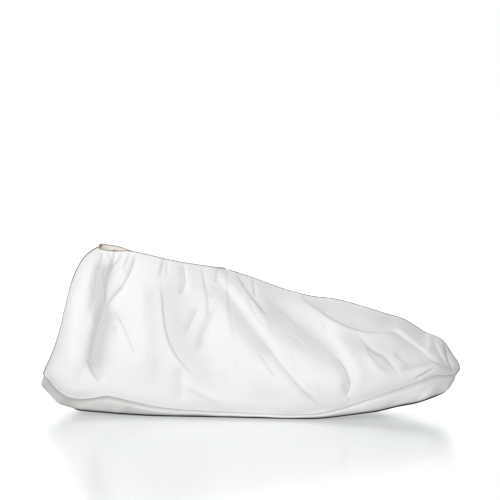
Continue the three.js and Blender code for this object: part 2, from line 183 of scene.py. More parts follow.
# Folds: how far each pushes the cloth outwards (a valley is negative), the widths of its slopes
# towards the heel and towards the toe, and its path in side view (x, z), running downwards.
NEAR_FOLDS = [
    (3.2, 13, 8, [(-135, 112), (-134, 90), (-135, 66), (-135, 43), (-132, 20)]),  # heel puff
    (-2.2, 2.8, 4.5, [(-117, 129), (-119, 112), (-121, 96), (-125, 70)]),
    (-2.6, 6.5, 2.0, [(-106, 130), (-110, 112), (-111, 98), (-113, 78)]),
    (-2.6, 3.0, 14, [(-108, 98), (-115, 78), (-120, 60), (-123, 46), (-126, 30)]),
    (2.6, 5, 3.5, [(-90, 128), (-98, 112), (-104, 99), (-110, 86)]),  # leaf by the rim
    (-1.25, 0.9, 2.4, [(-86, 130), (-91, 114), (-96, 103), (-112, 82)]),
    (-1.1, 1.0, 2, [(-92, 130), (-97, 112)]),
    (-1.0, 1.0, 2, [(-98, 128), (-102, 121), (-107, 115), (-110, 109)]),
    (-1.4, 1.6, 1.0, [(-106, 130), (-106, 122), (-109, 114)]),
    (-0.9, 1.6, 1.0, [(-116, 130), (-116, 121), (-119, 112)]),
    (1.1, 4, 4, [(-95, 116), (-93, 96), (-90, 72)]),
    (3.6, 15, 9, [(-84, 108), (-80, 70), (-75, 22)]),  # main belly
    (-1.3, 1.2, 4, [(-105, 84), (-96, 71), (-89, 56), (-84, 43)]),
    (-1.5, 1.2, 5, [(-126, 46), (-120, 33), (-112, 25)]),
    (-1.3, 1.1, 18, [(-68, 108), (-66, 94), (-64, 78), (-61, 63), (-55, 50), (-46, 39), (-34, 28)]),
    (-1.1, 1.5, 3, [(-65, 128), (-69, 106)]),
    (-1.5, 3, 1.3, [(-52, 124), (-49, 104), (-53, 93)]),
    (1.0, 4, 6, [(-47, 116), (-43, 94)]),
    (-0.9, 2, 4, [(-35, 108), (-31, 92), (-30, 76)]),
    (-1.2, 3, 1.5, [(-37, 88), (-48, 64)]),
    (-1.5, 3, 5, [(-21, 91), (-33, 68), (-37, 48)]),
    (-2.7, 8, 4, [(-36, 116), (-14, 93), (-1, 76), (14, 57), (28, 40)]),
    (-1.5, 3, 1.3, [(4, 70), (29, 40), (43, 24), (60, 9)]),
    (1.5, 5, 8, [(-26, 114), (-4, 90), (10, 74), (30, 48)]),
    (-1.5, 1.3, 4, [(-14, 114), (2, 94), (18, 77)]),
    (-0.9, 1.3, 2, [(2, 109), (6, 92)]),
    (-0.7, 1.5, 1.5, [(9, 53), (25, 30)]),
    (-3.6, 13, 7, [(2, 100), (24, 85), (44, 69), (64, 54), (80, 34)]),
    (-2.2, 5, 1.4, [(64, 56), (75, 42), (79.5, 32), (79.5, 24), (74, 14)]),
    (1.3, 5, 6, [(56, 74), (76, 54), (87, 38), (88, 22)]),
    (-2.6, 7, 1.6, [(82, 70), (96, 54), (105, 49), (111, 43), (124, 25)]),
    (1.0, 4, 2.0, [(87, 63), (98, 45), (105, 38), (123, 28)]),
    (-1.7, 1.2, 12, [(30, 99), (42, 91), (56, 83), (68, 76), (79, 71), (94, 67), (108, 66), (122, 64)]),
    (0.9, 5, 2.0, [(34, 92), (52, 83), (68, 73), (88, 66), (110, 63)]),
    (-1.5, 5, 1.1, [(106, 69), (115, 66), (122, 61), (134, 52), (143, 44), (153, 38), (163, 30)]),
    (0.8, 1.6, 3, [(110, 69), (118, 67), (128, 59), (140, 49), (152, 41)]),
    (1.1, 2.7, 2.7, [(140, 65), (141, 56), (138, 47)]),
    (-1.6, 1.2, 2.4, [(162, 31), (157, 42), (152, 60)]),
    (-1.3, 1.2, 3, [(161, 31), (152, 44), (143, 60)]),
    (-1.5, 4, 3, [(117, 38), (148, 43)]),
    (-1.2, 2.5, 1.5, [(129, 30), (147, 39)]),
    (1.2, 3, 3, [(-52, 29), (-15, 11)]),
    (-1.3, 5, 4, [(-52, 42), (-52, 9)]),
]
FAR_FOLDS = [
    (3.5, 12, 12, [(-134, 114), (-131, 70), (-133, 28)]),
    (-4.0, 2, 10, [(-112, 126), (-108, 100), (-112, 70), (-120, 40)]),
    (-2.4, 5, 1.5, [(-99, 126), (-103, 108), (-101, 88)]),
    (3.0, 4, 5, [(-92, 122), (-94, 104), (-98, 86)]),
    (-2.6, 1.3, 6, [(-84, 124), (-88, 106), (-99, 84)]),
    (4.0, 16, 16, [(-76, 104), (-82, 64), (-76, 26)]),
    (-3.6, 2, 13, [(-54, 116), (-59, 84), (-54, 56), (-38, 34)]),
    (-1.4, 1.4, 3, [(-70, 121), (-68, 106)]),
    (-1.6, 2.5, 1.3, [(-40, 113), (-44, 98), (-40, 90)]),
    (-1.5, 1.4, 5, [(-96, 70), (-90, 52), (-78, 40)]),
    (-4.0, 8, 3, [(-24, 108), (-6, 84), (8, 62), (24, 42)]),
    (-1.6, 2.5, 1.4, [(20, 48), (36, 28), (48, 16)]),
    (3.0, 6, 8, [(-6, 102), (14, 80), (34, 52)]),
    (-1.5, 1.4, 4, [(4, 104), (18, 88), (28, 80)]),
    (-4.6, 11, 3, [(36, 92), (54, 68), (70, 50), (78, 32)]),
    (2.2, 5, 6, [(66, 74), (82, 56), (92, 36)]),
    (-3.0, 7, 1.8, [(84, 74), (100, 56), (110, 46), (118, 32)]),
    (2.0, 2, 8, [(58, 92), (82, 78), (108, 70), (130, 58), (146, 44)]),
    (-2.0, 5, 1.2, [(56, 90), (80, 76), (106, 68), (128, 56), (156, 34)]),
    (-1.4, 1.5, 1.8, [(160, 37), (153, 46), (146, 58)]),
    (-1.4, 4, 4, [(-56, 34), (-50, 14)]),
    (1.3, 3, 3, [(-30, 28), (0, 14)]),
]

# Painted shade where the near panel's cloth is broadly greyer: how much, over what width, and its path.
NEAR_SHADES = [
    (0.4, 9, [(108, 76), (118, 72), (130, 65), (141, 58), (152, 50)]),
    (0.2, 5, [(-121, 108), (-121, 84), (-123, 66)]),
    (1.35, 6, [(-110, 110), (-113, 98), (-115, 80)]),
    (0.6, 0.9, [(-99, 127), (-102, 121), (-107, 114), (-110, 107)]),
    (0.6, 0.9, [(-112, 128), (-108, 120), (-109, 114)]),
    (0.5, 0.8, [(-106, 128), (-106.5, 121)]),
    (0.5, 0.9, [(-90, 124), (-95, 106), (-101, 97), (-112, 84)]),
    (0.95, 8, [(-110, 76), (-115, 58), (-117, 42)]),
    (0.35, 10, [(-61, 98), (-55, 76), (-44, 53), (-33, 34)]),
    (0.4, 7, [(81, 62), (95, 57), (111, 53), (124, 46)]),
    (0.3, 9, [(10, 24), (42, 14), (70, 17)]),
    (0.5, 6, [(-156, 50), (-158, 34), (-151, 24), (-140, 17), (-128, 16)]),
]

# Painted shade, how much greyer the coating is along the sections and at the toe: how much, from
# where, over what stretch, and how much further towards the toe by the seam than under the foot.
SOLE_SHADE = [
    (0, 0.83), (0.07, 0.84), (0.1, 0.8), (0.13, 0.98), (0.163, 0.76), (0.19, 0.66),
    (0.23, 0.6), (0.28, 0.6), (0.31, 0.61), (0.345, 0.7), (0.46, 0.56), (0.5, 0.5),
    (0.545, 0.3), (0.6, 0.15), (0.655, 0.42), (0.7, 0.3), (0.75, 0),
]
TOE_SHADE = (0.17, 0.812, 0.014, 0.05)

# Folds across the turned-up edge of the sole: place along the sections, depth and width. Then how
# much they slant, and its slow waves: radians along the sections, phase and height.
SOLE_FOLDS = [(0.16, -0.15, 0.014), (0.80, -0.4, 0.012), (0.868, 1.1, 0.012), (0.90, -0.25, 0.016)]
SOLE_FOLD_SLANT = 0.012
SOLE_WAVES = ((61, 1.3, 0.1), (103, 0.4, 0.08))
SOLE_HEM = 0.7  # width of the painted shade line along its seam
SOLE_PUSH_SHADE = 0.4  # painted shade for each millimetre of a valley

# How a fold's push turns into a shape.
FOLD_TAPER = 3.6  # how fast a fold fades in from its ends
FOLD_REACH = 3.2  # how many of its widths a fold reaches from its path
SHADE_REACH = 2.4  # and a shade
SHARP_WIDTH = 2.6  # slopes narrower than this are sharp ones,
SHARP_POWER = 1.5  # which end in an edge of this power
CRISP = 0.6  # and are this much narrower still
CREASE_WIDTH = 0.6  # half width of the painted shade line along a valley
CREASE_DEPTH = 2.0  # the depth from which that line has all of its grey
CREASE_SLOPE = 1.6  # and the width of its narrower slope up to which it has
FINE_CREASE = 0.5  # share of that grey which the small creases have
CROWDING_REACH = 2.0  # how near a sharp fold draws the grid's points to it
CROWDING_FADE = (0.02, 0.04)  # how soon it does, from the panel's ends and from its edges
STEEPEST = 0.45  # cosine of the steepest slope of a fold's side
EASING = 30  # rounds of averaging at most
HOLLOW_DEPTH = 4.0  # how deep a valley is where it has all of the painted shade in hollows
DEEPEST_SHADE = 1.3  # how much of that painted shade the cloth takes at most

# How the folds fade towards a panel's edges: as shares of its height, along the heel and instep
# seams and along the rim, and as shares of its length.
SEAM_PUSH, RIM_PUSH = 0.1, 0.6  # how much of a fold is left at the top
SEAM_FADE, RIM_FADE = 0.2, 0.08  # how far below the top it has all of its depth
HEEL_FADE, HEEL_FADE_RUN = 0.3, 0.06  # how much further along the heel seam, and how soon
FOOT_FADE = 0.035  # how far above the sole seam it has all of its depth
END_FADE = 0.05  # and from the tips of the heel and the toe
OPEN_MOUTH = 8  # half width of the mouth from which a top edge counts as the rim

# Fine creases of the crumpled cloth, drawn with a fixed seed.
CREASES = {"near": 20, "far": 95}
CREASE_SEED = 11
CREASE_X = (-140, 150)
CREASE_LOWEST = 18  # height of the lowest one's middle
CREASE_ROOM = (24, 4)  # the highest is up to this height, or this far below the top if higher
TOP_LINE = ([-140, -120, -20, 60, 160], [100, 122, 108, 88, 40])  # x, and the panels' top there
LEANS = ([-140, -60, 20, 100, 150], [-4, 0, 24, 44, 66])  # x, and degrees from upright there
LEAN_SPREAD = 16
CREASE_HALF = (5, 16)  # half of their length
CREASE_SAG = 0.12  # how far their middle strays, as a share of that
CREASE_PUSH = (0.25, 0.7)
CREASE_SLOPES = ((1.0, 1.5), (3.0, 7.0))  # widths of their two slopes, either way round

# Slow waves of the loose cloth.
LIMP = {"near": 0.35, "far": 0.8}  # their height
LIMP_WAVES = 7
LIMP_LENGTHS = (16, 52)
LIMP_TURNS = (-0.5, 1.2)  # radians between a wave's direction and +X
LIMP_BOW = 6  # how far a wave's crest strays from a straight line
LIMP_SEED = 21

# Small pleats under the rim.
GATHERS = {"near": 6, "far": 15}
GATHER_SEED = {"near": 3, "far": 8}
GATHER_PLACE = (0.2, 0.8)  # within its own share of the rim
GATHER_FALL = (9, 24)
GATHER_LEAN = (0.05, 0.12)  # and its spread, as shares of its fall
GATHER_START = 2  # how far above the rim it starts
GATHER_BEND = (0.4, 0.45)  # shares of its lean and its fall at its middle
GATHER_PUSH = (0.5, 1.3)
GATHER_SHARE = {"near": 0.6, "far": 1}
GATHER_SLOPE = (1.3, 3)

SIDES = {"near": -1.0, "far": 1.0}  # which way each faces, along Y
NEIGHBOURS = ((1, 0), (-1, 0), (0, 1), (0, -1))
HARD_EDGE = math.radians(75)  # between faces that are shaded apart


# ---------------------------------------------------------------- shape
def smooth(t):
    """A soft step from 0 to 1."""
    t = np.clip(t, 0.0, 1.0)
    return t * t * (3 - 2 * t)


def unit(vectors):
    return vectors / np.maximum(np.linalg.norm(vectors, axis=-1, keepdims=True), 1e-9)


def between(a, b, c, d, t):
    """The place at share t between b and c, on a smooth curve that also passes a and d."""
    bend = (2 * a - 5 * b + 4 * c - d) * t**2 + (3 * b - a - 3 * c + d) * t**3
    return b + ((c - a) * t + bend) / 2


def section_at(u):
    """The table's columns at places between its first row (u = 0) and its last (u = 1)."""
    last = len(SECTIONS) - 1
    place = np.clip(u, 0, 1) * last
    row = np.minimum(np.floor(place).astype(int), last - 1)
    table = SECTIONS.copy()
    widths = [COLUMNS.index("seam_y"), COLUMNS.index("mouth_y")]
    table[:, widths] **= 2  # by their squares, which round the ends of the sole and the mouth
    rows = (table[np.clip(row + step, 0, last)] for step in (-1, 0, 1, 2))
    values = between(*rows, (place - row)[..., None])
    values[..., widths] = np.sqrt(np.maximum(0, values[..., widths]))
    return {name: values[..., i] for i, name in enumerate(COLUMNS)}


def rounded_path(path, parts=6):
    """A smooth line through a path's points."""
    points = np.array(path, float)
    padded = np.vstack([2 * points[0] - points[1], points, 2 * points[-1] - points[-2]])
    line = [
        between(*padded[i : i + 4], t)
        for i in range(len(points) - 1)
        for t in np.arange(parts) / parts
    ]
    return np.array([*line, points[-1]])


def distances(path, reach, x, z):
    """For the places in side view within reach of a path: a mask of them, the distance and the
    steps from each to the nearest point of the path, the side that it is on and its share along."""
    line = rounded_path(path)
    near = (
        (x > line[:, 0].min() - reach)
        & (x < line[:, 0].max() + reach)
        & (z > line[:, 1].min() - reach)
        & (z < line[:, 1].max() + reach)
    )
    px, pz = x[near], z[near]
    best = np.full(px.shape, 1e9)
    step_x, step_z, side, share = (np.zeros_like(px) for _ in range(4))
    spans = len(line) - 1
    for i in range(spans):
        (x0, z0), (x1, z1) = line[i], line[i + 1]
        run, drop = x1 - x0, z1 - z0
        t = np.clip(((px - x0) * run + (pz - z0) * drop) / (run * run + drop * drop), 0, 1)
        dx = px - x0 - t * run
        dz = pz - z0 - t * drop
        away = np.hypot(dx, dz)
        closer = away < best
        best = np.where(closer, away, best)
        step_x, step_z = np.where(closer, -dx, step_x), np.where(closer, -dz, step_z)
        side = np.where(closer, dz * run - dx * drop, side)
        share = np.where(closer, (i + t) / spans, share)
    return near, best, step_x, step_z, side, share


def fold_depth(folds, x, z):
    """How far the folds push the cloth outwards at places in side view, and how much painted shade
    the grey line along each valley puts there, from 0 to 1."""
    depth = np.zeros_like(x)
    crease_shade = np.zeros_like(x)
    for push, behind, ahead, path in folds:
        near, best, _, _, side, share = distances(path, FOLD_REACH * max(behind, ahead), x, z)
        if not near.any():
            continue
        width = np.where(side > 0, ahead, behind)
        sharp = width < SHARP_WIDTH
        power = np.where(sharp, SHARP_POWER, 2.0)
        width = np.where(sharp, width * CRISP, width)
        along = smooth(FOLD_TAPER * np.minimum(share, 1 - share))
        depth[near] += push * along * np.exp(-((best / width) ** power))
        if push < 0:
            edge = min(1.0, -push / CREASE_DEPTH) * min(1.0, CREASE_SLOPE / min(behind, ahead))
            grey = edge * along * np.exp(-((best / CREASE_WIDTH) ** 2))
            crease_shade[near] = np.maximum(crease_shade[near], grey)
    return depth, crease_shade


def shade_of(shades, x, z):
    """How grey the broad painted shades make the cloth at places in side view."""
    grey = np.zeros_like(x)
    for amount, width, path in shades:
        near, best, *_ = distances(path, SHADE_REACH * width, x, z)
        grey[near] += amount * np.exp(-((best / width) ** 2))
    return grey


def drawn_to_creases(folds, x, z):
    """Steps in side view that crowd a grid's points towards the sharp valleys near them, so that
    each one's edge is a clean line."""
    best_of = np.full_like(x, CROWDING_REACH)
    move_x, move_z = np.zeros_like(x), np.zeros_like(x)
    for push, behind, ahead, path in folds:
        if min(behind, ahead) >= SHARP_WIDTH or push > 0:
            continue
        near, best, step_x, step_z, _, share = distances(path, CROWDING_REACH, x, z)
        if not near.any():
            continue
        pull = (1 - best / CROWDING_REACH) * smooth(2 * FOLD_TAPER * np.minimum(share, 1 - share))
        closer = best < best_of[near]
        best_of[near] = np.where(closer, best, best_of[near])
        move_x[near] = np.where(closer, step_x * pull, move_x[near])
        move_z[near] = np.where(closer, step_z * pull, move_z[near])
    return move_x, move_z


def even_places(cells, samples=2000):
    """Places along the sections that are evenly spaced in side view."""
    u = np.linspace(0, 1, samples)
    s = section_at(u)
    runs = [
        np.hypot(np.diff(s[a]), np.diff(s[b]))
        for a, b in (("seam_x", "seam_z"), ("top_x", "top_z"))
    ]
    length = np.concatenate([[0], np.cumsum(runs[0] + runs[1])])
    return np.interp(np.linspace(0, length[-1], cells + 1), length, u)


def grid_of(rows, columns):
    return np.meshgrid(rows, np.linspace(0, 1, columns + 1), indexing="ij")


def seam_outward(u):
    """The level direction that points out of the near sole seam."""
    step = 1e-3
    ahead, behind = section_at(u + step), section_at(u - step)
    run = ahead["seam_x"] - behind["seam_x"]
    widen = ahead["seam_y"] - behind["seam_y"]
    return unit(np.stack([-widen, -run, np.zeros_like(run)], -1))


def rim_height(s, side):
    """The height of a panel's top edge."""
    return s["top_z"] - (s["drop"] if side == "far" else 0)


def loose_creases(side):
    """Short shallow creases all over one panel, most of them running down from the mouth."""
    draw = np.random.default_rng(CREASE_SEED + (side == "far"))
    folds = []
    for _ in range(CREASES[side]):
        x = draw.uniform(*CREASE_X)
        room, clear = CREASE_ROOM
        z = draw.uniform(CREASE_LOWEST, max(room, np.interp(x, *TOP_LINE) - clear))
        angle = math.radians(np.interp(x, *LEANS) + draw.normal(0, LEAN_SPREAD))
        half = draw.uniform(*CREASE_HALF)
        dx, dz = math.sin(angle) * half, -math.cos(angle) * half
        sag = draw.normal(0, CREASE_SAG)
        path = [(x - dx, z - dz), (x - dz * sag, z + dx * sag), (x + dx, z + dz)]
        push = -draw.uniform(*CREASE_PUSH)
        slopes = [draw.uniform(*slope) for slope in CREASE_SLOPES]
        draw.shuffle(slopes)
        folds.append((push, *slopes, path))
    return folds


def rim_gathers(side):
    """Small pleats that the elastic pulls into the rim, which fan out as they run down."""
    draw = np.random.default_rng(GATHER_SEED[side])
    folds = []
    count = GATHERS[side]
    for i in range(count):
        share = (i + draw.uniform(*GATHER_PLACE)) / count
        s = section_at(np.array(MOUTH_BACK + (MOUTH_FRONT - MOUTH_BACK) * share))
        x, z = float(s["top_x"]), float(rim_height(s, side))
        fall = draw.uniform(*GATHER_FALL)
        lean = draw.normal(*GATHER_LEAN) * fall
        middle = (x + GATHER_BEND[0] * lean, z - GATHER_BEND[1] * fall)
        path = [(x, z + GATHER_START), middle, (x + lean, z - fall)]
        push = -draw.uniform(*GATHER_PUSH) * GATHER_SHARE[side]
        folds.append((push, draw.uniform(*GATHER_SLOPE), draw.uniform(*GATHER_SLOPE), path))
    return folds


def limpness(side, x, z):
    """Slow uneven waves of cloth that nothing holds taut."""
    draw = np.random.default_rng(LIMP_SEED + (side == "far"))
    waves = np.zeros_like(x)
    for _ in range(LIMP_WAVES):
        length = draw.uniform(*LIMP_LENGTHS)
        angle = draw.uniform(*LIMP_TURNS)
        phase = draw.uniform(0, math.tau)
        across = x * math.cos(angle) + z * math.sin(angle)
        along = z * math.cos(angle) - x * math.sin(angle)
        bow = LIMP_BOW * np.sin(along / length * 2 + phase)
        waves += np.sin(math.tau * (across + bow) / length + phase) * length / LIMP_LENGTHS[1]
    return LIMP[side] * waves / math.sqrt(LIMP_WAVES)


def panel_surface(side, u, v):
    """Points on the smooth outside of a side panel: u from heel to toe, v from the seam up."""
    s = section_at(u)
    low = s["seam_z"] + SEAM_SLIT / 2
    crown = np.radians(90 - MOUTH_LEAN * smooth(s["mouth_y"] / WIDE_MOUTH))
    angle = v * crown
    power = 2 / s["full"]
    inwards = (1 - np.cos(angle) ** power) / (1 - np.cos(crown) ** power)
    upwards = (np.sin(angle) / np.sin(crown)) ** power
    x = s["seam_x"] + (s["top_x"] - s["seam_x"]) * upwards
    z = low + (rim_height(s, side) - low) * upwards
    y = s["seam_y"] + (s["mouth_y"] - s["seam_y"]) * inwards
    y = y + s["belly"] * np.sin(np.pi * v) * (1 - v)
    return np.stack([x, SIDES[side] * np.maximum(y, CREST_SLIT / 2), z], -1)


def outward(points, facing):
    """Unit normals of a grid of points, on the side that facing (1 or -1) gives."""
    normal = np.cross(np.gradient(points, axis=0), np.gradient(points, axis=1))
    return facing * unit(normal)


def fold_room(u, v):
    """How much of its folds a panel has at each place: less near its edges."""
    rim = smooth(section_at(u)["mouth_y"] / OPEN_MOUTH)  # 0 along the heel and instep seams
    at_top = SEAM_PUSH + (RIM_PUSH - SEAM_PUSH) * rim
    below_top = SEAM_FADE + (RIM_FADE - SEAM_FADE) * rim
    below_top = below_top + HEEL_FADE * smooth((MOUTH_BACK - u) / HEEL_FADE_RUN)
    return (at_top + (1 - at_top) * smooth((1 - v) / below_top)) * smooth(v / FOOT_FADE)


def side_panel(side):
    """One side panel: its outside as a grid of points, their normals, its inside, the painted shade
    of the grey lines along its valleys, and how pushed out each place is."""
    u, v = grid_of(even_places(PANEL_CELLS[0]), PANEL_CELLS[1])
    points = panel_surface(side, u, v)
    facing = -SIDES[side]
    normal = outward(points, facing)
    folds = NEAR_FOLDS if side == "near" else FAR_FOLDS
    small = loose_creases(side) + rim_gathers(side)
    move_x, move_z = drawn_to_creases(folds + small, points[..., 0], points[..., 2])
    from_end, from_edge = CROWDING_FADE
    inside = smooth(np.minimum(u, 1 - u) / from_end) * smooth(np.minimum(v, 1 - v) / from_edge)
    move = np.stack([move_x, np.zeros_like(move_x), move_z], -1) * inside[..., None]
    points = points + move - normal * np.sum(move * normal, -1, keepdims=True)
    x, z = points[..., 0], points[..., 2]
    depth, crease_shade = fold_depth(folds, x, z)
    fine, fine_crease = fold_depth(small, x, z)
    room = fold_room(u, v)
    ends = smooth(np.minimum(u, 1 - u) / END_FADE)
    push = (depth + fine + limpness(side, x, z)) * room * ends
    tuck = SEAM_TUCK * np.exp(-(((z - z[:, :1]) / TUCK_HEIGHT) ** 2)) * ends
    away = seam_outward(u) * (1, -SIDES[side], 1) * tuck[..., None]
    moved = eased(points + normal * push[..., None] - away, normal, facing)
    keep_to_side(side, moved)
    crease_shade = np.maximum(crease_shade, FINE_CREASE * fine_crease) * room * ends
    lowest = push.copy()
    for i in range(-LINING_STEP, LINING_STEP + 1):
        for j in range(-LINING_STEP, LINING_STEP + 1):
            lowest = np.minimum(lowest, np.roll(push, (i, j), (0, 1)))
    lining = points + normal * (lowest - CLOTH_WALL)[..., None] - away
    keep_to_side(side, lining)
    return moved, outward(moved, facing), lining[::LINING_STEP, ::LINING_STEP], crease_shade, push


def eased(points, normal, facing):
    """A grid of points, averaged with their neighbours where the cloth would fold over itself."""
    points = points.copy()
    for _ in range(EASING):
        turned = np.sum(outward(points, facing) * normal, -1) < STEEPEST
        around = turned.copy()
        for shift in NEIGHBOURS:
            around |= np.roll(turned, shift, (0, 1))
        around[[0, -1]] = False
        around[:, [0, -1]] = False
        if not around.any():
            break
        mean = sum(np.roll(points, shift, (0, 1)) for shift in NEIGHBOURS) / len(NEIGHBOURS)
        points[around] = (points[around] + mean[around]) / 2
    return points


def keep_to_side(side, points):
    """Holds a panel's points on its own side of the heel and instep seams."""
    points[..., 1] = SIDES[side] * np.maximum(SIDES[side] * points[..., 1], CREST_SLIT / 2)


# ---------------------------------------------------------------- meshes
def shown(name, data):
    """An object in the scene, at the origin."""
    made = bpy.data.objects.new(name, data)
    bpy.context.scene.collection.objects.link(made)
    return made


def mesh_object(name, points, faces, material, values):
    """An object from points in millimetres, with values at its points."""
    mesh = bpy.data.meshes.new(name)
    mesh.from_pydata((points * MM).tolist(), [], faces)
    for label, column in values.items():
        made = mesh.attributes.new(label, "FLOAT", "POINT")
        made.data.foreach_set("value", np.asarray(column, np.float32))
    mesh.polygons.foreach_set("use_smooth", np.ones(len(mesh.polygons), bool))
    mesh.set_sharp_from_angle(angle=HARD_EDGE)
    mesh.materials.append(material)
    mesh.update()
    return shown(name, mesh)


def sheet_object(name, outer, inner, material, values=None):
    """A closed thin sheet between two grids of points, of which the inner may be coarser. Faces
    of the outer grid turn outwards where its first axis, its second axis and outwards make a
    right-handed frame."""
    numbers = np.arange(outer[..., 0].size + inner[..., 0].size)
    top = numbers[: outer[..., 0].size].reshape(outer.shape[:2])
    under = numbers[outer[..., 0].size :].reshape(inner.shape[:2])
    faces = [
        np.stack([top[:-1, :-1], top[1:, :-1], top[1:, 1:], top[:-1, 1:]], -1),
        np.stack([under[:-1, :-1], under[:-1, 1:], under[1:, 1:], under[1:, :-1]], -1),
    ]
    faces = [face for block in faces for face in block.reshape(-1, 4).tolist()]
    step = (outer.shape[0] - 1) // (inner.shape[0] - 1)
    for turn in (
        lambda grid: grid[:, 0],
        lambda grid: grid[-1, :],
        lambda grid: grid[::-1, -1],
        lambda grid: grid[0, ::-1],
    ):
        edge, lining = turn(top), turn(under)
        for i in range(len(lining) - 1):
            along = edge[i * step : (i + 1) * step + 1][::-1]
            faces.append([*along.tolist(), int(lining[i]), int(lining[i + 1])])
    points = np.concatenate([outer.reshape(-1, 3), inner.reshape(-1, 3)])
    both = {
        label: np.concatenate([column.ravel(), column[::step, ::step].ravel()])
        for label, column in (values or {}).items()
    }
    both["lining"] = np.repeat([0.0, 1.0], [top.size, under.size])
    return mesh_object(name, points, faces, material, both)


# ---------------------------------------------------------------- nodes
SOCKETS = {float: "Float", int: "Int", tuple: "Color"}  # by the type of their default


def join(tree, socket, value):
    """Links another socket to this one, or gives it a constant."""
    if isinstance(value, bpy.types.NodeSocket):
        tree.links.new(value, socket)
    elif socket.type == "RGBA":
        socket.default_value = (*value, 1)
    else:
        socket.default_value = value


def add(tree, kind, inputs=None, **settings):
    """A node with its settings, and sockets or constants for its inputs by name or number."""
    node = tree.nodes.new(kind)
    for key, value in settings.items():
        setattr(node, key, value)
    for key, value in (inputs or {}).items():
        join(tree, node.inputs[key], value)
    return node


def flow(tree, kind, inputs=None, **settings):
    """The first output of such a node."""
    return add(tree, kind, inputs, **settings).outputs[0]


def new_tree(name, kind, inputs, outputs):
    """A node tree with named sockets, each given by its default value or, where it has none, by
    its type in words. Returns it with the sockets that its nodes start from and end in."""
    tree = bpy.data.node_groups.new(name, kind)
    for side, sockets in (("INPUT", inputs), ("OUTPUT", outputs)):
        for label, value in sockets.items():
            bare = isinstance(value, str)
            socket = "NodeSocket" + (value if bare else SOCKETS[type(value)])
            made = tree.interface.new_socket(label, in_out=side, socket_type=socket)
            if not bare:
                made.default_value = value
    return tree, add(tree, "NodeGroupInput").outputs, add(tree, "NodeGroupOutput").inputs


def math_node(tree, operation, *values, clamp=False):
    inputs = dict(enumerate(values))
    return flow(tree, "ShaderNodeMath", inputs, operation=operation, use_clamp=clamp)


def weighed(tree, *parts, clamp=False):
    """The sum of the parts, each times its weight. clamp holds the sum between 0 and 1."""
    total, *terms = [math_node(tree, "MULTIPLY", value, weight) for value, weight in parts]
    for term in terms:
        total = math_node(tree, "ADD", total, term, clamp=clamp and term == terms[-1])
    return total


def ranged(tree, value, low, high, start=0.0, end=1.0, steps="LINEAR"):
    """A value from start to end, taken to low to high."""
    ends = {"From Min": start, "From Max": end, "To Min": low, "To Max": high}
    return flow(tree, "ShaderNodeMapRange", {"Value": value, **ends}, interpolation_type=steps)


def mix_colour(tree, factor, a, b):
    return add(tree, "ShaderNodeMix", {0: factor, 6: a, 7: b}, data_type="RGBA").outputs[2]


def noise(tree, place, scale, **values):
    return flow(tree, "ShaderNodeTexNoise", {"Vector": place, "Scale": scale, **values})


def bands(tree, place, scale, distortion, direction, extra=None):
    inputs = {"Vector": place, "Scale": scale, "Distortion": distortion, **(extra or {})}
    node = add(tree, "ShaderNodeTexWave", inputs, wave_type="BANDS", bands_direction=direction)
    return node.outputs["Fac"]


def fibre_web():
    """Random fibres pressed into a sheet: a cloudy mottle and fine swirling strands."""
    tree, given, out = new_tree(
        "fibre_web",
        "ShaderNodeTree",
        {"Place": "Vector", "Cloud Scale": 90.0, "Strand Scale": 700.0, "Strand Curl": 9.0},
        {"Cloud": "Float", "Strands": "Float", "Height": "Float"},
    )
    place, scale, curl = given["Place"], given["Strand Scale"], given["Strand Curl"]
    fine = {"Detail": 5, "Detail Scale": 1.7, "Detail Roughness": 0.7}
    layers = [bands(tree, place, scale, curl, way, fine) for way in ("DIAGONAL", "Z")]
    strands = math_node(tree, "MAXIMUM", *layers)
    cloud = noise(tree, place, given["Cloud Scale"], Detail=4, Roughness=0.6)
    grain = noise(tree, place, scale, Detail=2)
    join(tree, out["Cloud"], cloud)
    join(tree, out["Strands"], strands)
    join(tree, out["Height"], weighed(tree, (strands, 0.55), (grain, 0.45), (cloud, 0.8)))
    return tree


def shade_and_mottle_tone():
    """A piece's colour, mottled, and greyer and warmer with the painted shade along its creases and
    in its hollows; on the grip, the tape and the threads the input for creases is a pattern instead.
    """
    tree, given, out = new_tree(
        "shade_and_mottle_tone",
        "ShaderNodeTree",
        {
            "Base": (0.9, 0.9, 0.9, 1),
            "Hollow Tone": (0.7, 0.7, 0.68, 1),
            "Mottle": "Float",
            "Mottle Share": 0.03,
            "Crease": "Float",
            "Crease Share": 0.3,
            "Hollow": "Float",
            "Hollow Share": 0.2,
        },
        {"Colour": "Color"},
    )
    total = weighed(
        tree,
        (given["Crease"], given["Crease Share"]),
        (given["Hollow"], given["Hollow Share"]),
        (math_node(tree, "SUBTRACT", given["Mottle"], 0.5), given["Mottle Share"]),
        clamp=True,
    )
    join(tree, out["Colour"], mix_colour(tree, total, given["Base"], given["Hollow Tone"]))
    return tree


FIBRE_WEB = fibre_web()
SHADE_AND_MOTTLE_TONE = shade_and_mottle_tone()


def named(values):
    """Values by their sockets' names, which have spaces."""
    return {label.replace("_", " "): value for label, value in values.items()}


def new_material(name, **constants):
    material = bpy.data.materials.new(name)
    material.use_nodes = True
    tree = material.node_tree
    shader = tree.nodes["Principled BSDF"].inputs
    for label, value in named(constants).items():
        shader[label].default_value = value
    return material, tree, shader


def attribute(tree, name):
    return add(tree, "ShaderNodeAttribute", attribute_name=name).outputs["Fac"]


def object_place(tree):
    return add(tree, "ShaderNodeTexCoord").outputs["Object"]


def web_of(tree, place, **values):
    inputs = {"Place": place, **named(values)}
    return add(tree, "ShaderNodeGroup", node_tree=FIBRE_WEB, inputs=inputs).outputs


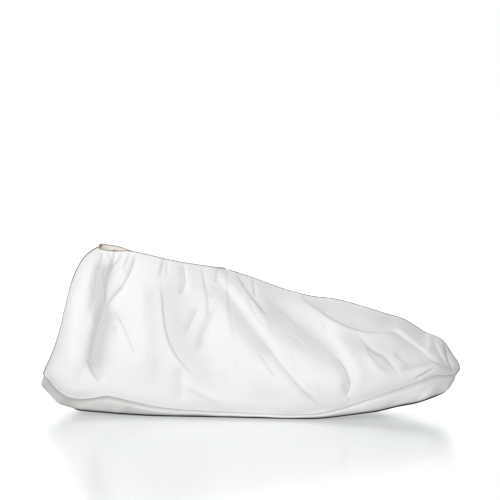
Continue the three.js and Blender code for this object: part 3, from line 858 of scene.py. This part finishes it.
def finish(tree, shader, web, rough, height, bump, **tone):
    """Gives a shader its tone, mottled by the web and greyed by the painted shade or the pattern
    that each piece feeds it, a roughness that follows a value from low to high, and a bump of
    (strength, distance in metres). Returns the tone."""
    inputs = {"Mottle": web["Cloud"], **named(tone)}
    colour = flow(tree, "ShaderNodeGroup", node_tree=SHADE_AND_MOTTLE_TONE, inputs=inputs)
    join(tree, shader["Base Color"], colour)
    join(tree, shader["Roughness"], ranged(tree, *rough))
    strength, distance = bump
    relief = {"Strength": strength, "Distance": distance, "Height": height}
    join(tree, shader["Normal"], flow(tree, "ShaderNodeBump", relief))
    return colour


def panel_cloth():
    """Flash-spun white sheet: matt, faintly cloudy, with fine strands."""
    material, tree, shader = new_material(
        "panel_cloth",
        Sheen_Weight=0.12,
        Sheen_Roughness=0.6,
        Specular_IOR_Level=0.32,
        Emission_Strength=PAINTED_GLOW,
    )
    web = web_of(tree, object_place(tree))
    finish(
        tree,
        shader,
        web,
        rough=(web["Strands"], 0.5, 0.66),
        height=web["Height"],
        bump=(0.35, 0.00012),
        Base=(0.925, 0.93, 0.925),
        Hollow_Tone=(0.58, 0.58, 0.565),
        Mottle_Share=0.1,
        # painted shade: the two attributes below grey the cloth along its valleys and in its shaded
        # patches
        Crease=attribute(tree, "crease_shade"),
        Crease_Share=0.55,
        Hollow=attribute(tree, "hollow_shade"),
        Hollow_Share=0.55,
    )
    # painted light: the panel's inside glows warm white
    glow = mix_colour(tree, attribute(tree, "lining"), (0.0, 0.0, 0.0), (1.0, 0.985, 0.95))
    join(tree, shader["Emission Color"], glow)
    return material


def sole_coating():
    """Smooth coated film on cloth, cool light grey, with a low gloss."""
    material, tree, shader = new_material("sole_coating", Specular_IOR_Level=0.45)
    place = object_place(tree)
    web = web_of(tree, place, Cloud_Scale=40.0, Strand_Scale=420.0, Strand_Curl=5.0)
    finish(
        tree,
        shader,
        web,
        rough=(web["Cloud"], 0.3, 0.46),
        height=web["Height"],
        bump=(0.2, 0.0001),
        Base=(0.93, 0.935, 0.93),
        Hollow_Tone=(0.44, 0.436, 0.412),
        Mottle_Share=0.16,
        # painted shade: the two attributes below grey the coating along its seam, in its folds and at
        # heel and toe
        Crease=attribute(tree, "crease_shade"),
        Crease_Share=0.5,
        Hollow=attribute(tree, "hollow_shade"),
        Hollow_Share=1.0,
    )
    return material


def grip_rubber():
    """Dark slip-resistant sheet with a fine pebbled face."""
    material, tree, shader = new_material("grip_sheet", Specular_IOR_Level=0.4)
    place = object_place(tree)
    pebble = flow(
        tree, "ShaderNodeTexVoronoi", {"Vector": place, "Scale": 900}, feature="SMOOTH_F1"
    )
    web = web_of(tree, place, Cloud_Scale=60.0)
    finish(
        tree,
        shader,
        web,
        rough=(web["Cloud"], 0.6, 0.85),
        height=pebble,
        bump=(0.5, 0.0002),
        Base=(0.045, 0.039, 0.033),
        Hollow_Tone=(0.13, 0.12, 0.105),
        Mottle_Share=0.8,
        Crease=pebble,
        Crease_Share=0.25,
    )
    return material


def elastic_tape():
    """Ecru woven elastic: fine threads along the tape between its cross ribs."""
    material, tree, shader = new_material(
        "elastic_tape",
        Sheen_Weight=0.2,
        Sheen_Roughness=0.5,
        Specular_IOR_Level=0.25,
        Emission_Strength=PAINTED_GLOW,
    )
    place = object_place(tree)
    weft = bands(tree, place, 420, 0.6, "Z")
    web = web_of(tree, place, Cloud_Scale=160.0, Strand_Scale=1600.0)
    tone = finish(
        tree,
        shader,
        web,
        rough=(web["Strands"], 0.7, 0.9),
        height=math_node(tree, "ADD", weft, web["Height"]),
        bump=(0.5, 0.00012),
        Base=(0.86, 0.83, 0.77),
        Hollow_Tone=(0.34, 0.29, 0.235),
        Mottle_Share=0.2,
        Crease=weft,
        Crease_Share=0.1,
        # painted shade: the tape's edges and its back fold darken towards a dark taupe
        Hollow=attribute(tree, "edge"),
        Hollow_Share=1.0,
    )
    # painted light: the tape glows in its own tone
    join(tree, shader["Emission Color"], tone)
    return material


def sewing_thread(name, base, hollow_shade):
    """Twisted polyester thread."""
    material, tree, shader = new_material(name, Sheen_Weight=0.15, Specular_IOR_Level=0.35)
    place = object_place(tree)
    twist = bands(tree, place, 1500, 1.5, "DIAGONAL")
    finish(
        tree,
        shader,
        web_of(tree, place, Cloud_Scale=200.0),
        rough=(twist, 0.45, 0.6),
        height=twist,
        bump=(0.5, 0.00008),
        Base=base,
        Hollow_Tone=hollow_shade,
        Mottle_Share=0.2,
        Crease=twist,
        Crease_Share=0.3,
    )
    return material


PAINTED_GLOW = 0.14  # painted light: the glow of the panels' insides and the tape, for light through the cloth
CLOTH = panel_cloth()
COATING = sole_coating()
GRIP = grip_rubber()
ELASTIC = elastic_tape()
WHITE_THREAD = sewing_thread("white_thread", (0.84, 0.835, 0.81), (0.6, 0.59, 0.56))
# painted shade: the heel and instep thread is dark so that it draws the shaded outline along the crest
OUTLINE_SHADE_THREAD = sewing_thread("outline_shade_thread", (0.31, 0.295, 0.27), (0.22, 0.21, 0.19))


# ---------------------------------------------------------------- geometry nodes
def direction(tree, name):
    """The named direction that each point of a line carries."""
    kind = "GeometryNodeInputNamedAttribute"
    return flow(tree, kind, {"Name": name}, data_type="FLOAT_VECTOR")


def aligned(tree, axis, name, inputs=None, **settings):
    """A rotation that turns an axis along the named direction."""
    inputs = {"Vector": direction(tree, name), **(inputs or {})}
    return flow(tree, "FunctionNodeAlignRotationToVector", inputs, axis=axis, **settings)


def beads(tree, points, rotation, size, segments):
    """A ball on each point, turned, with these three half sizes."""
    ball = flow(tree, "GeometryNodeMeshUVSphere", {"Segments": segments, "Rings": 6, "Radius": 1.0})
    scale = flow(tree, "ShaderNodeCombineXYZ", dict(zip("XYZ", size)))
    inputs = {"Points": points, "Instance": ball, "Rotation": rotation, "Scale": scale}
    return flow(tree, "GeometryNodeInstanceOnPoints", inputs)


def evenly(tree, line, step):
    """A line of edges as a curve with points a step apart."""
    curve = flow(tree, "GeometryNodeMeshToCurve", {"Mesh": line})
    return flow(tree, "GeometryNodeResampleCurve", {"Curve": curve, "Length": step}, mode="LENGTH")


def end_tree(tree, shape, given, result):
    """Ends a tree in plain smooth geometry with its material."""
    rounded = flow(tree, "GeometryNodeSetShadeSmooth", {0: shape})
    real = flow(tree, "GeometryNodeRealizeInstances", {0: rounded})
    paint = {"Geometry": real, "Material": given["Material"]}
    join(tree, result, flow(tree, "GeometryNodeSetMaterial", paint))
    return tree


def stitch_tree():
    """Stitches laid on a line: each is a short rounded length of thread, turned along the
    line's lay direction and set on its facing direction."""
    tree, given, out = new_tree(
        "stitches",
        "GeometryNodeTree",
        {
            "Line": "Geometry",
            "Spacing": 0.003,
            "Stitch Length": 0.0024,
            "Thread Radius": 0.0002,
            "Slant": 0.0,
            "Looseness": 0.08,
            "Seed": 5,
            "Material": "Material",
        },
        {"Stitches": "Geometry"},
    )
    along = aligned(tree, "X", "lay")
    upright = aligned(tree, "Z", "facing", {"Rotation": along}, pivot_axis="X")
    loose = given["Looseness"]
    opposite = math_node(tree, "MULTIPLY", loose, -1)
    wobble = add(
        tree,
        "FunctionNodeRandomValue",
        {2: opposite, 3: loose, "Seed": given["Seed"]},
        data_type="FLOAT",
    )
    angle = math_node(tree, "ADD", given["Slant"], wobble.outputs[1])
    turn = flow(tree, "FunctionNodeAxisAngleToRotation", {"Axis": (0, 0, 1), "Angle": angle})
    slanted = flow(
        tree,
        "FunctionNodeRotateRotation",
        {"Rotation": upright, "Rotate By": turn},
        rotation_space="LOCAL",
    )
    half = math_node(tree, "MULTIPLY", given["Stitch Length"], 0.5)
    size = (half, given["Thread Radius"], given["Thread Radius"])
    places = evenly(tree, given["Line"], given["Spacing"])
    return end_tree(tree, beads(tree, places, slanted, size, segments=8), given, out["Stitches"])


def tape_tree():
    """A ribbed tape that stands on edge along a closed line. Its top and bottom edges, and its
    fold at the back, carry the attribute edge, which paints shade on them."""
    tree, given, out = new_tree(
        "ribbed_tape",
        "GeometryNodeTree",
        {
            "Line": "Geometry",
            "Height": 0.0044,
            "Wall": 0.0008,
            "Step": 0.00035,
            "Rib Pitch": 0.0021,
            "Rib Depth": 0.00012,
            "Back": 0.0,
            "Material": "Material",
        },
        {"Tape": "Geometry"},
    )
    line = evenly(tree, given["Line"], given["Step"])
    position = flow(tree, "GeometryNodeInputPosition")
    keep = add(tree, "GeometryNodeCaptureAttribute", domain="POINT")
    keep.capture_items.new("FLOAT", "Length")
    keep.capture_items.new("VECTOR", "Middle")
    upright = flow(tree, "GeometryNodeSetCurveNormal", {"Curve": line}, mode="Z_UP")
    join(tree, keep.inputs["Geometry"], upright)
    join(tree, keep.inputs["Length"], add(tree, "GeometryNodeSplineParameter").outputs["Length"])
    join(tree, keep.inputs["Middle"], position)
    kept = keep.outputs
    box = {"Width": given["Wall"], "Height": given["Height"]}
    profile = flow(tree, "GeometryNodeCurvePrimitiveQuadrilateral", box, mode="RECTANGLE")
    radius = math_node(tree, "MULTIPLY", given["Wall"], TAPE_CORNER)
    corners = {"Curve": profile, "Radius": radius, "Count": 3}
    rounded = flow(tree, "GeometryNodeFilletCurve", corners, mode="POLY")
    points = {"Curve": rounded, "Count": TAPE_PROFILE}
    outline = flow(tree, "GeometryNodeResampleCurve", points, mode="COUNT")
    curves = {"Curve": kept["Geometry"], "Profile Curve": outline}
    swept = flow(tree, "GeometryNodeCurveToMesh", curves)
    ends = {0: position, 1: kept["Middle"]}
    from_middle = flow(tree, "ShaderNodeVectorMath", ends, operation="SUBTRACT")
    rise = add(tree, "ShaderNodeSeparateXYZ", {0: from_middle}).outputs["Z"]
    share = math_node(tree, "ABSOLUTE", math_node(tree, "DIVIDE", rise, given["Height"]))
    across = add(tree, "ShaderNodeSeparateXYZ", {0: position}).outputs["X"]
    from_back = math_node(tree, "SUBTRACT", across, given["Back"])
    painted_edge_shade = math_node(
        tree,
        "MAXIMUM",
        ranged(tree, share, 0.0, 1.0, *TAPE_EDGE_SHADE),
        ranged(tree, from_back, 0.0, 1.0, TAPE_FOLD_SHADE[0] * MM, TAPE_FOLD_SHADE[1] * MM),
    )
    marks = {"Geometry": swept, "Name": "edge", "Value": painted_edge_shade}
    kind = "GeometryNodeStoreNamedAttribute"
    marked = flow(tree, kind, marks, data_type="FLOAT", domain="POINT")
    turns = math_node(tree, "DIVIDE", kept["Length"], given["Rib Pitch"])
    wave = math_node(tree, "SINE", math_node(tree, "MULTIPLY", turns, math.tau))
    depth = math_node(tree, "MULTIPLY", wave, given["Rib Depth"])
    face = flow(tree, "GeometryNodeInputNormal")
    ribs = flow(tree, "ShaderNodeVectorMath", {0: face, "Scale": depth}, operation="SCALE")
    moved = flow(tree, "GeometryNodeSetPosition", {"Geometry": marked, "Offset": ribs})
    return end_tree(tree, moved, given, out["Tape"])


def dot_tree():
    """Low round grip dots set on scattered points, each turned to its facing direction."""
    tree, given, out = new_tree(
        "grip_dots",
        "GeometryNodeTree",
        {"Points": "Geometry", "Dot Radius": 0.0012, "Dot Height": 0.0004, "Material": "Material"},
        {"Dots": "Geometry"},
    )
    cloud = flow(tree, "GeometryNodeMeshToPoints", {"Mesh": given["Points"]})
    size = (given["Dot Radius"], given["Dot Radius"], given["Dot Height"])
    domes = beads(tree, cloud, aligned(tree, "Z", "facing"), size, segments=10)
    return end_tree(tree, domes, given, out["Dots"])


def loose_object(name, points, edges, **directions):
    """Points in millimetres, the edges that join them, and the directions that they carry."""
    mesh = bpy.data.meshes.new(name)
    mesh.from_pydata((points * MM).tolist(), edges, [])
    for label, values in directions.items():
        made = mesh.attributes.new(label, "FLOAT_VECTOR", "POINT")
        made.data.foreach_set("vector", values.astype(np.float32).ravel())
    return shown(name, mesh)


def line_object(name, lines, closed=False):
    """Loose edges along lines of (points, lay directions, facing directions)."""
    points, lay, facing = (np.concatenate(columns) for columns in zip(*lines))
    edges = []
    start = 0
    for line, *_ in lines:
        end = start + len(line)
        edges.extend((i, i + 1) for i in range(start, end - 1))
        if closed:
            edges.append((end - 1, start))
        start = end
    return loose_object(name, points, edges, lay=lay, facing=facing)


def grown(name, base, tree, sizes, **values):
    """The plain mesh that a tree makes from a base object, which is removed, with sizes in
    millimetres and other values for the tree's inputs."""
    values = named({**{label: size * MM for label, size in sizes.items()}, **values})
    modifier = base.modifiers.new(name, "NODES")
    modifier.node_group = tree
    for socket in tree.interface.items_tree:
        if socket.in_out == "INPUT" and socket.name in values:
            modifier[socket.identifier] = values[socket.name]
    bpy.context.view_layer.update()
    evaluated = base.evaluated_get(bpy.context.evaluated_depsgraph_get())
    mesh = bpy.data.meshes.new_from_object(evaluated)
    bpy.data.objects.remove(base)
    mesh.name = name
    if not mesh.materials:
        mesh.materials.append(values["Material"])
    return shown(name, mesh)


# ---------------------------------------------------------------- side panels
panels = {}
grids = {}
for side in SIDES:
    outer, normal, inner, crease_shade, push = side_panel(side)
    # painted shade: grey in the folds' valleys, and on the near side in broad shaded patches too
    hollow_shade = -push / HOLLOW_DEPTH
    if side == "near":
        hollow_shade = hollow_shade.clip(0) + shade_of(NEAR_SHADES, outer[..., 0], outer[..., 2])
    hollow_shade = np.clip(hollow_shade, 0, DEEPEST_SHADE)
    grids[side] = (outer, normal)
    order = slice(None) if side == "near" else slice(None, None, -1)
    panels[side] = sheet_object(
        f"side_panel_cloth_{side}",
        outer[order],
        inner[order],
        CLOTH,
        {"crease_shade": crease_shade[order], "hollow_shade": hollow_shade[order]},
    )


# ---------------------------------------------------------------- sole
def sole_surface(u, v):
    """Points on the underside of the sole sheet, where v runs from the near seam to the far one,
    and how far round its turned-up edge each one is, from 0 to 1."""
    s = section_at(u)
    edge = np.clip(1 - np.minimum(v, 1 - v) / SOLE_TURN, 0, 1)
    side = np.where(v < 0.5, -1.0, 1.0)
    level = s["seam_y"] * FLAT_SHARE
    flat = side * level * np.minimum(1, np.abs(v - 0.5) / (0.5 - SOLE_TURN))
    turned = side * (level + (s["seam_y"] - level) * np.sin(edge * np.pi / 2) ** SOLE_SQUARE)
    y = np.where(edge > 0, turned, flat)
    rise = 1 - np.cos(edge * np.pi / 2) ** SOLE_SQUARE
    heel_fade, toe_fade = SOLE_LIFT_FADE
    on_grip = smooth((u - GRIP_SPAN[0]) / heel_fade + 1) * smooth((GRIP_SPAN[1] - u) / toe_fade + 1)
    foot = s["sole_z"] + (CAD_GRIP_WALL + 2 * GRIP_CLEARANCE) * on_grip
    high = s["seam_z"] - SEAM_SLIT / 2
    x = s["sole_x"] + (s["seam_x"] - s["sole_x"]) * rise
    return np.stack([x, y, foot + (high - foot) * rise], -1), edge


def sole_sheet():
    u, v = grid_of(even_places(SOLE_CELLS[0])[::-1], SOLE_CELLS[1])
    points, edge = sole_surface(u, v)
    normal = outward(points, 1)
    push = np.zeros_like(u)
    for place, depth, width in SOLE_FOLDS:
        push += depth * np.exp(-(((u - place - SOLE_FOLD_SLANT * (edge - 0.5)) / width) ** 2))
    waves = sum(np.sin(u * turns + phase) * height for turns, phase, height in SOLE_WAVES)
    ends = smooth(np.minimum(u, 1 - u) / END_FADE)
    push = (push + waves) * np.sin(np.pi * np.clip(edge, 0, 1)) ** 2 * ends
    top = section_at(u)["seam_z"] - SEAM_SLIT / 2
    tuck = SEAM_TUCK * np.exp(-(((top - points[..., 2]) / SOLE_TUCK_HEIGHT) ** 2)) * ends
    away = seam_outward(u)
    away[..., 1] *= np.where(v < 0.5, 1, -1)
    outer = points + normal * push[..., None] - away * (tuck * (edge > 0))[..., None]
    inner = outer - outward(outer, 1) * SOLE_WALL
    inner[..., 2] = np.minimum(inner[..., 2], top)
    # painted shade: the coating greys along its heel and toe, along its seam and in its folds' valleys
    amount, place, stretch, slant = TOE_SHADE
    toe = amount * smooth(0.5 + (u - place - slant * edge) / stretch)
    hem = np.exp(-(((top - outer[..., 2]) / SOLE_HEM) ** 2))
    values = {
        "crease_shade": np.clip(-push, 0, 1) ** 2 + hem,
        "hollow_shade": np.clip(np.interp(u, *zip(*SOLE_SHADE)) + toe - SOLE_PUSH_SHADE * push, 0, 1),
    }
    return sheet_object("sole_coated_sheet", outer, inner, COATING, values)


def grip_surface(u, v):
    """Points on the plain underside of the grip sheet, from its heel end and its near side."""
    s = section_at(GRIP_SPAN[0] + (GRIP_SPAN[1] - GRIP_SPAN[0]) * u)
    from_end = np.clip(np.minimum(u, 1 - u) / GRIP_ROUND, 0, 1)
    half = s["seam_y"] * GRIP_SHARE * np.maximum(GRIP_TIP, np.sqrt(1 - (1 - from_end) ** 2))
    return np.stack([s["sole_x"], (2 * v - 1) * half, s["sole_z"]], -1)


def grip_sheet():
    rows = (1 + np.cos(np.linspace(0, np.pi, GRIP_CELLS[0] + 1))) / 2  # closest at the ends
    outer = grip_surface(*grid_of(rows, GRIP_CELLS[1]))
    outer[..., 2] += DOT_HEIGHT
    inner = outer.copy()
    inner[..., 2] += GRIP_WALL - DOT_HEIGHT
    return sheet_object("grip_rubber_sheet", outer, inner, GRIP)


def grip_dots():
    """Staggered rows of dots under the grip sheet."""
    samples = 400
    u = np.linspace(0, 1, samples)
    x_of, _, z_of = grip_surface(u, np.full_like(u, 0.5)).T
    half_of = -grip_surface(u, np.zeros_like(u))[:, 1]
    end, side = DOT_MARGIN
    points, facing = [], []
    for row, x in enumerate(np.arange(x_of[0] + end, x_of[-1] - end, DOT_PITCH * DOT_ROWS)):
        z = np.interp(x, x_of, z_of)
        slope = np.interp(x + 1, x_of, z_of) - z
        width = np.interp(x, x_of, half_of) - side
        offset = (row % 2) * DOT_PITCH / 2
        count = int(width // DOT_PITCH) + 1
        for y in np.arange(-count, count + 1) * DOT_PITCH + offset:
            if abs(y) <= width:
                points.append((x, y, z + DOT_HEIGHT))
                facing.append((slope, 0, -1))
    base = loose_object("dot_points", np.array(points), [], facing=unit(np.array(facing)))
    sizes = {"Dot Radius": DOT_RADIUS, "Dot Height": DOT_HEIGHT}
    return grown("grip_dots", base, dot_tree(), sizes, Material=GRIP)


sole = sole_sheet()
grip = grip_sheet()
dots = grip_dots()


# ---------------------------------------------------------------- elastic tape
def rows_between(start, end):
    """Rows of a panel's grid between two places along the sections."""
    places = even_places(PANEL_CELLS[0])
    return np.flatnonzero((places >= start) & (places <= end))


def tape_line():
    """The tape's middle line, just inside the rim: along the near rim and back along the far."""
    rows = rows_between(MOUTH_BACK, MOUTH_FRONT)
    near, far = grids["near"][0][rows, -1], grids["far"][0][rows, -1]
    rim = np.concatenate([near[1:-1], far[-2:0:-1]])
    for _ in range(RIM_SMOOTHING):
        rim = (np.roll(rim, 1, 0) + 2 * rim + np.roll(rim, -1, 0)) / 4
    along = np.roll(rim, -1, 0) - np.roll(rim, 1, 0)
    inwards = unit(np.stack([-along[:, 1], along[:, 0], np.zeros(len(rim))], -1))
    line = rim + inwards * TAPE_INSET
    pull, stretch = TAPE_BACK
    line[:, 0] -= pull * smooth(1 - (line[:, 0] - line[:, 0].min()) / stretch)
    pull, stretch = TAPE_FRONT
    line[:, 0] += pull * smooth(1 - (line[:, 0].max() - line[:, 0]) / stretch)
    from_back = (line[:, 0] - line[:, 0].min()) / np.ptp(line[:, 0])
    far_side = smooth(0.5 + line[:, 1] / FAR_SIDE_BLEND)  # the near side stays down by the rim
    peak = TAPE_PEAK * far_side * np.exp(-((from_back / PEAK_SHARE) ** 2))
    line[:, 2] += TAPE_RISE + peak - TAPE_HEIGHT / 2
    return line


def elastic():
    line = tape_line()
    along = unit(np.roll(line, -1, 0) - np.roll(line, 1, 0))
    up = np.tile([0.0, 0.0, 1.0], (len(line), 1))
    base = line_object("tape_line", [(line, along, up)], closed=True)
    sizes = {
        "Height": TAPE_HEIGHT,
        "Wall": TAPE_WALL,
        "Step": TAPE_STEP,
        "Rib Pitch": RIB_PITCH,
        "Rib Depth": RIB_DEPTH,
        "Back": float(line[:, 0].min()),
    }
    return grown("elastic_tape_loop", base, tape_tree(), sizes, Material=ELASTIC)


tape = elastic()


# ---------------------------------------------------------------- stitches
def crest_line(start, end, rise):
    """The line where the two panels meet, between two places along the sections."""
    near, far = grids["near"][0], grids["far"][0]
    rows = rows_between(start, end)
    line = (near[rows, -1] + far[rows, -1]) / 2
    if start == 0:
        foot = (near[0] + far[0]) / 2
        below = foot[0] + unit(foot[0] - foot[-1]) * THREAD_OVERRUN
        line = np.vstack([below, foot, line])
    if end == 1:
        line = np.vstack([line, (near[-1] + far[-1])[::-1] / 2])
    apart = np.linalg.norm(np.diff(line, axis=0), axis=1) > SAME_POINT
    line = line[np.append(True, apart)]
    across = np.tile([0.0, 1.0, 0.0], (len(line), 1))
    facing = unit(np.cross(unit(np.gradient(line, axis=0)), across))
    above = line - np.array([0, 0, line[:, 2].min()])
    facing *= np.sign(np.sum(facing * above, -1, keepdims=True))
    return line + facing * rise, across, facing


def inset_line(side, distance, start, end, order):
    """A line on a panel at a distance in from its rim (order -1) or its sole seam (order 1)."""
    outer, normal = grids[side]
    line, facing = [], []
    for i in rows_between(start, end):
        column = outer[i, ::order]
        run = np.cumsum([0, *np.linalg.norm(np.diff(column, axis=0), axis=1)])
        for places, values in ((line, column), (facing, normal[i, ::order])):
            places.append([np.interp(distance, run, axis) for axis in values.T])
    line = np.array(line)
    return line, unit(np.gradient(line, axis=0)), unit(np.array(facing))


def stitch_row(name, lines, thread, spacing, length, radius, slant, seed):
    base = line_object(name + "_line", lines)
    sizes = {"Spacing": spacing, "Stitch Length": length, "Thread Radius": radius}
    values = {"Slant": slant, "Looseness": LOOSENESS, "Seed": seed, "Material": thread}
    return grown(name, base, STITCHES, sizes, **values)


STITCHES = stitch_tree()
# the dark thread along the crest paints its shaded outline
heel_line = crest_line(0.0, MOUTH_BACK, THREAD_RISE["heel"])
heel_stitches = stitch_row("heel_seam_stitches", [heel_line], OUTLINE_SHADE_THREAD, *HEEL_STITCH)
instep_line = crest_line(MOUTH_FRONT, 1.0, THREAD_RISE["instep"])
instep_stitches = stitch_row("instep_seam_stitches", [instep_line], OUTLINE_SHADE_THREAD, *INSTEP_STITCH)
hem_ends = (MOUTH_BACK + HEM_GAP, MOUTH_FRONT - HEM_GAP)
hem_lines = [inset_line(side, HEM_INSET, *hem_ends, order=-1) for side in SIDES]
hem_stitches = stitch_row("mouth_hem_stitches", hem_lines, WHITE_THREAD, *HEM_STITCH)
seam_lines = [inset_line(side, SEAM_INSET, *SEAM_ENDS, order=1) for side in SIDES]
sole_seam_stitches = stitch_row("sole_seam_stitches", seam_lines, WHITE_THREAD, *SEAM_STITCH)

# ---------------------------------------------------------------- what rides on what
for piece, slot in (
    (panels["near"], "panel_cloth"),
    (panels["far"], "panel_cloth"),
    (sole, "sole_coating"),
    (grip, "grip_sheet"),
    (dots, "grip_sheet"),
    (tape, "elastic_tape"),
    (heel_stitches, "panel_cloth"),
    (instep_stitches, "panel_cloth"),
    (hem_stitches, "panel_cloth"),
    (sole_seam_stitches, "panel_cloth"),
):
    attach(piece, "root")
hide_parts("side_panel_near")
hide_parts("side_panel_far")
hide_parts("sole_sheet")
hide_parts("grip_sheet")
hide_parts("elastic_binding")


# ---------------------------------------------------------------- floor, light and camera
def floor_material():
    """A pale low-gloss sweep that whitens away from the object."""
    material, tree, shader = new_material("studio_floor", Specular_IOR_Level=0.35)
    place = object_place(tree)
    deep = add(tree, "ShaderNodeSeparateXYZ", {0: place}).outputs["Y"]
    reach = add(tree, "ShaderNodeVectorMath", {0: place}, operation="LENGTH").outputs["Value"]
    whitened = [
        ranged(tree, value, 0.0, 1.0, *stretch, steps="SMOOTHSTEP")
        for value, stretch in ((deep, WHITE_BEHIND), (reach, WHITE_AROUND))
    ]
    white = math_node(tree, "MAXIMUM", *whitened)
    seen = add(tree, "ShaderNodeLightPath").outputs["Is Camera Ray"]
    lit = math_node(tree, "MULTIPLY", white, AMBIENT)
    shows = ranged(tree, white, FLOOR_GLOW, 1.0)
    glow = flow(tree, "ShaderNodeMix", {0: seen, 2: lit, 3: shows}, data_type="FLOAT")
    tint = mix_colour(tree, white, NEAR_GLOW_TINT, (1.0, 1.0, 1.0))
    rough = ranged(tree, noise(tree, place, 300), 0.12, 0.2)
    join(tree, shader["Base Color"], mix_colour(tree, white, FLOOR_TONE, (0.0, 0.0, 0.0)))
    join(tree, shader["Emission Color"], tint)
    join(tree, shader["Emission Strength"], glow)
    join(tree, shader["Roughness"], rough)
    return material


def studio_floor():
    mesh = bpy.data.meshes.new("floor")
    corners = [(-1, -1), (1, -1), (1, 1), (-1, 1)]
    points = [(x * FLOOR_REACH, y * FLOOR_REACH, 0) for x, y in corners]
    mesh.from_pydata(points, [], [(0, 1, 2, 3)])
    mesh.materials.append(floor_material())
    return shown("floor", mesh)


def studio_air():
    """White surroundings, which light the object less than they show."""
    world = bpy.data.worlds.new("studio")
    world.use_nodes = True
    tree = world.node_tree
    background = tree.nodes["Background"].inputs
    seen = add(tree, "ShaderNodeLightPath").outputs
    direct = math_node(tree, "MAXIMUM", seen["Is Camera Ray"], seen["Is Glossy Ray"])
    join(tree, background["Color"], AIR_TINT)
    join(tree, background["Strength"], ranged(tree, direct, AMBIENT, AIR_SHOWS))
    bpy.context.scene.world = world


def turned_to(thing, direction):
    """Turns a light or a camera to look along a direction."""
    thing.rotation_euler = direction.to_track_quat("-Z", "Y").to_euler()


def area_light(name, place, size, power, colour):
    data = bpy.data.lights.new(name, "AREA")
    data.shape = "DISK"
    data.size = size
    data.energy = power
    data.color = colour
    light = shown(name, data)
    light.location = place
    turned_to(light, LIGHTS_AIM - Vector(place))


def studio_camera():
    data = bpy.data.cameras.new("camera")
    data.lens = LENS
    data.sensor_width = SENSOR
    data.clip_start, data.clip_end = CLIP
    camera = shown("camera", data)
    level = math.cos(ELEVATION)
    up = math.sin(ELEVATION)
    back = Vector((math.sin(AZIMUTH) * level, -math.cos(AZIMUTH) * level, up))
    camera.location = AIM + back * DISTANCE
    turned_to(camera, -back)
    return camera


floor = studio_floor()
studio_air()
for light in LIGHTS:
    area_light(*light)
bpy.context.scene.camera = studio_camera()
bpy.context.scene.view_settings.view_transform = "Standard"
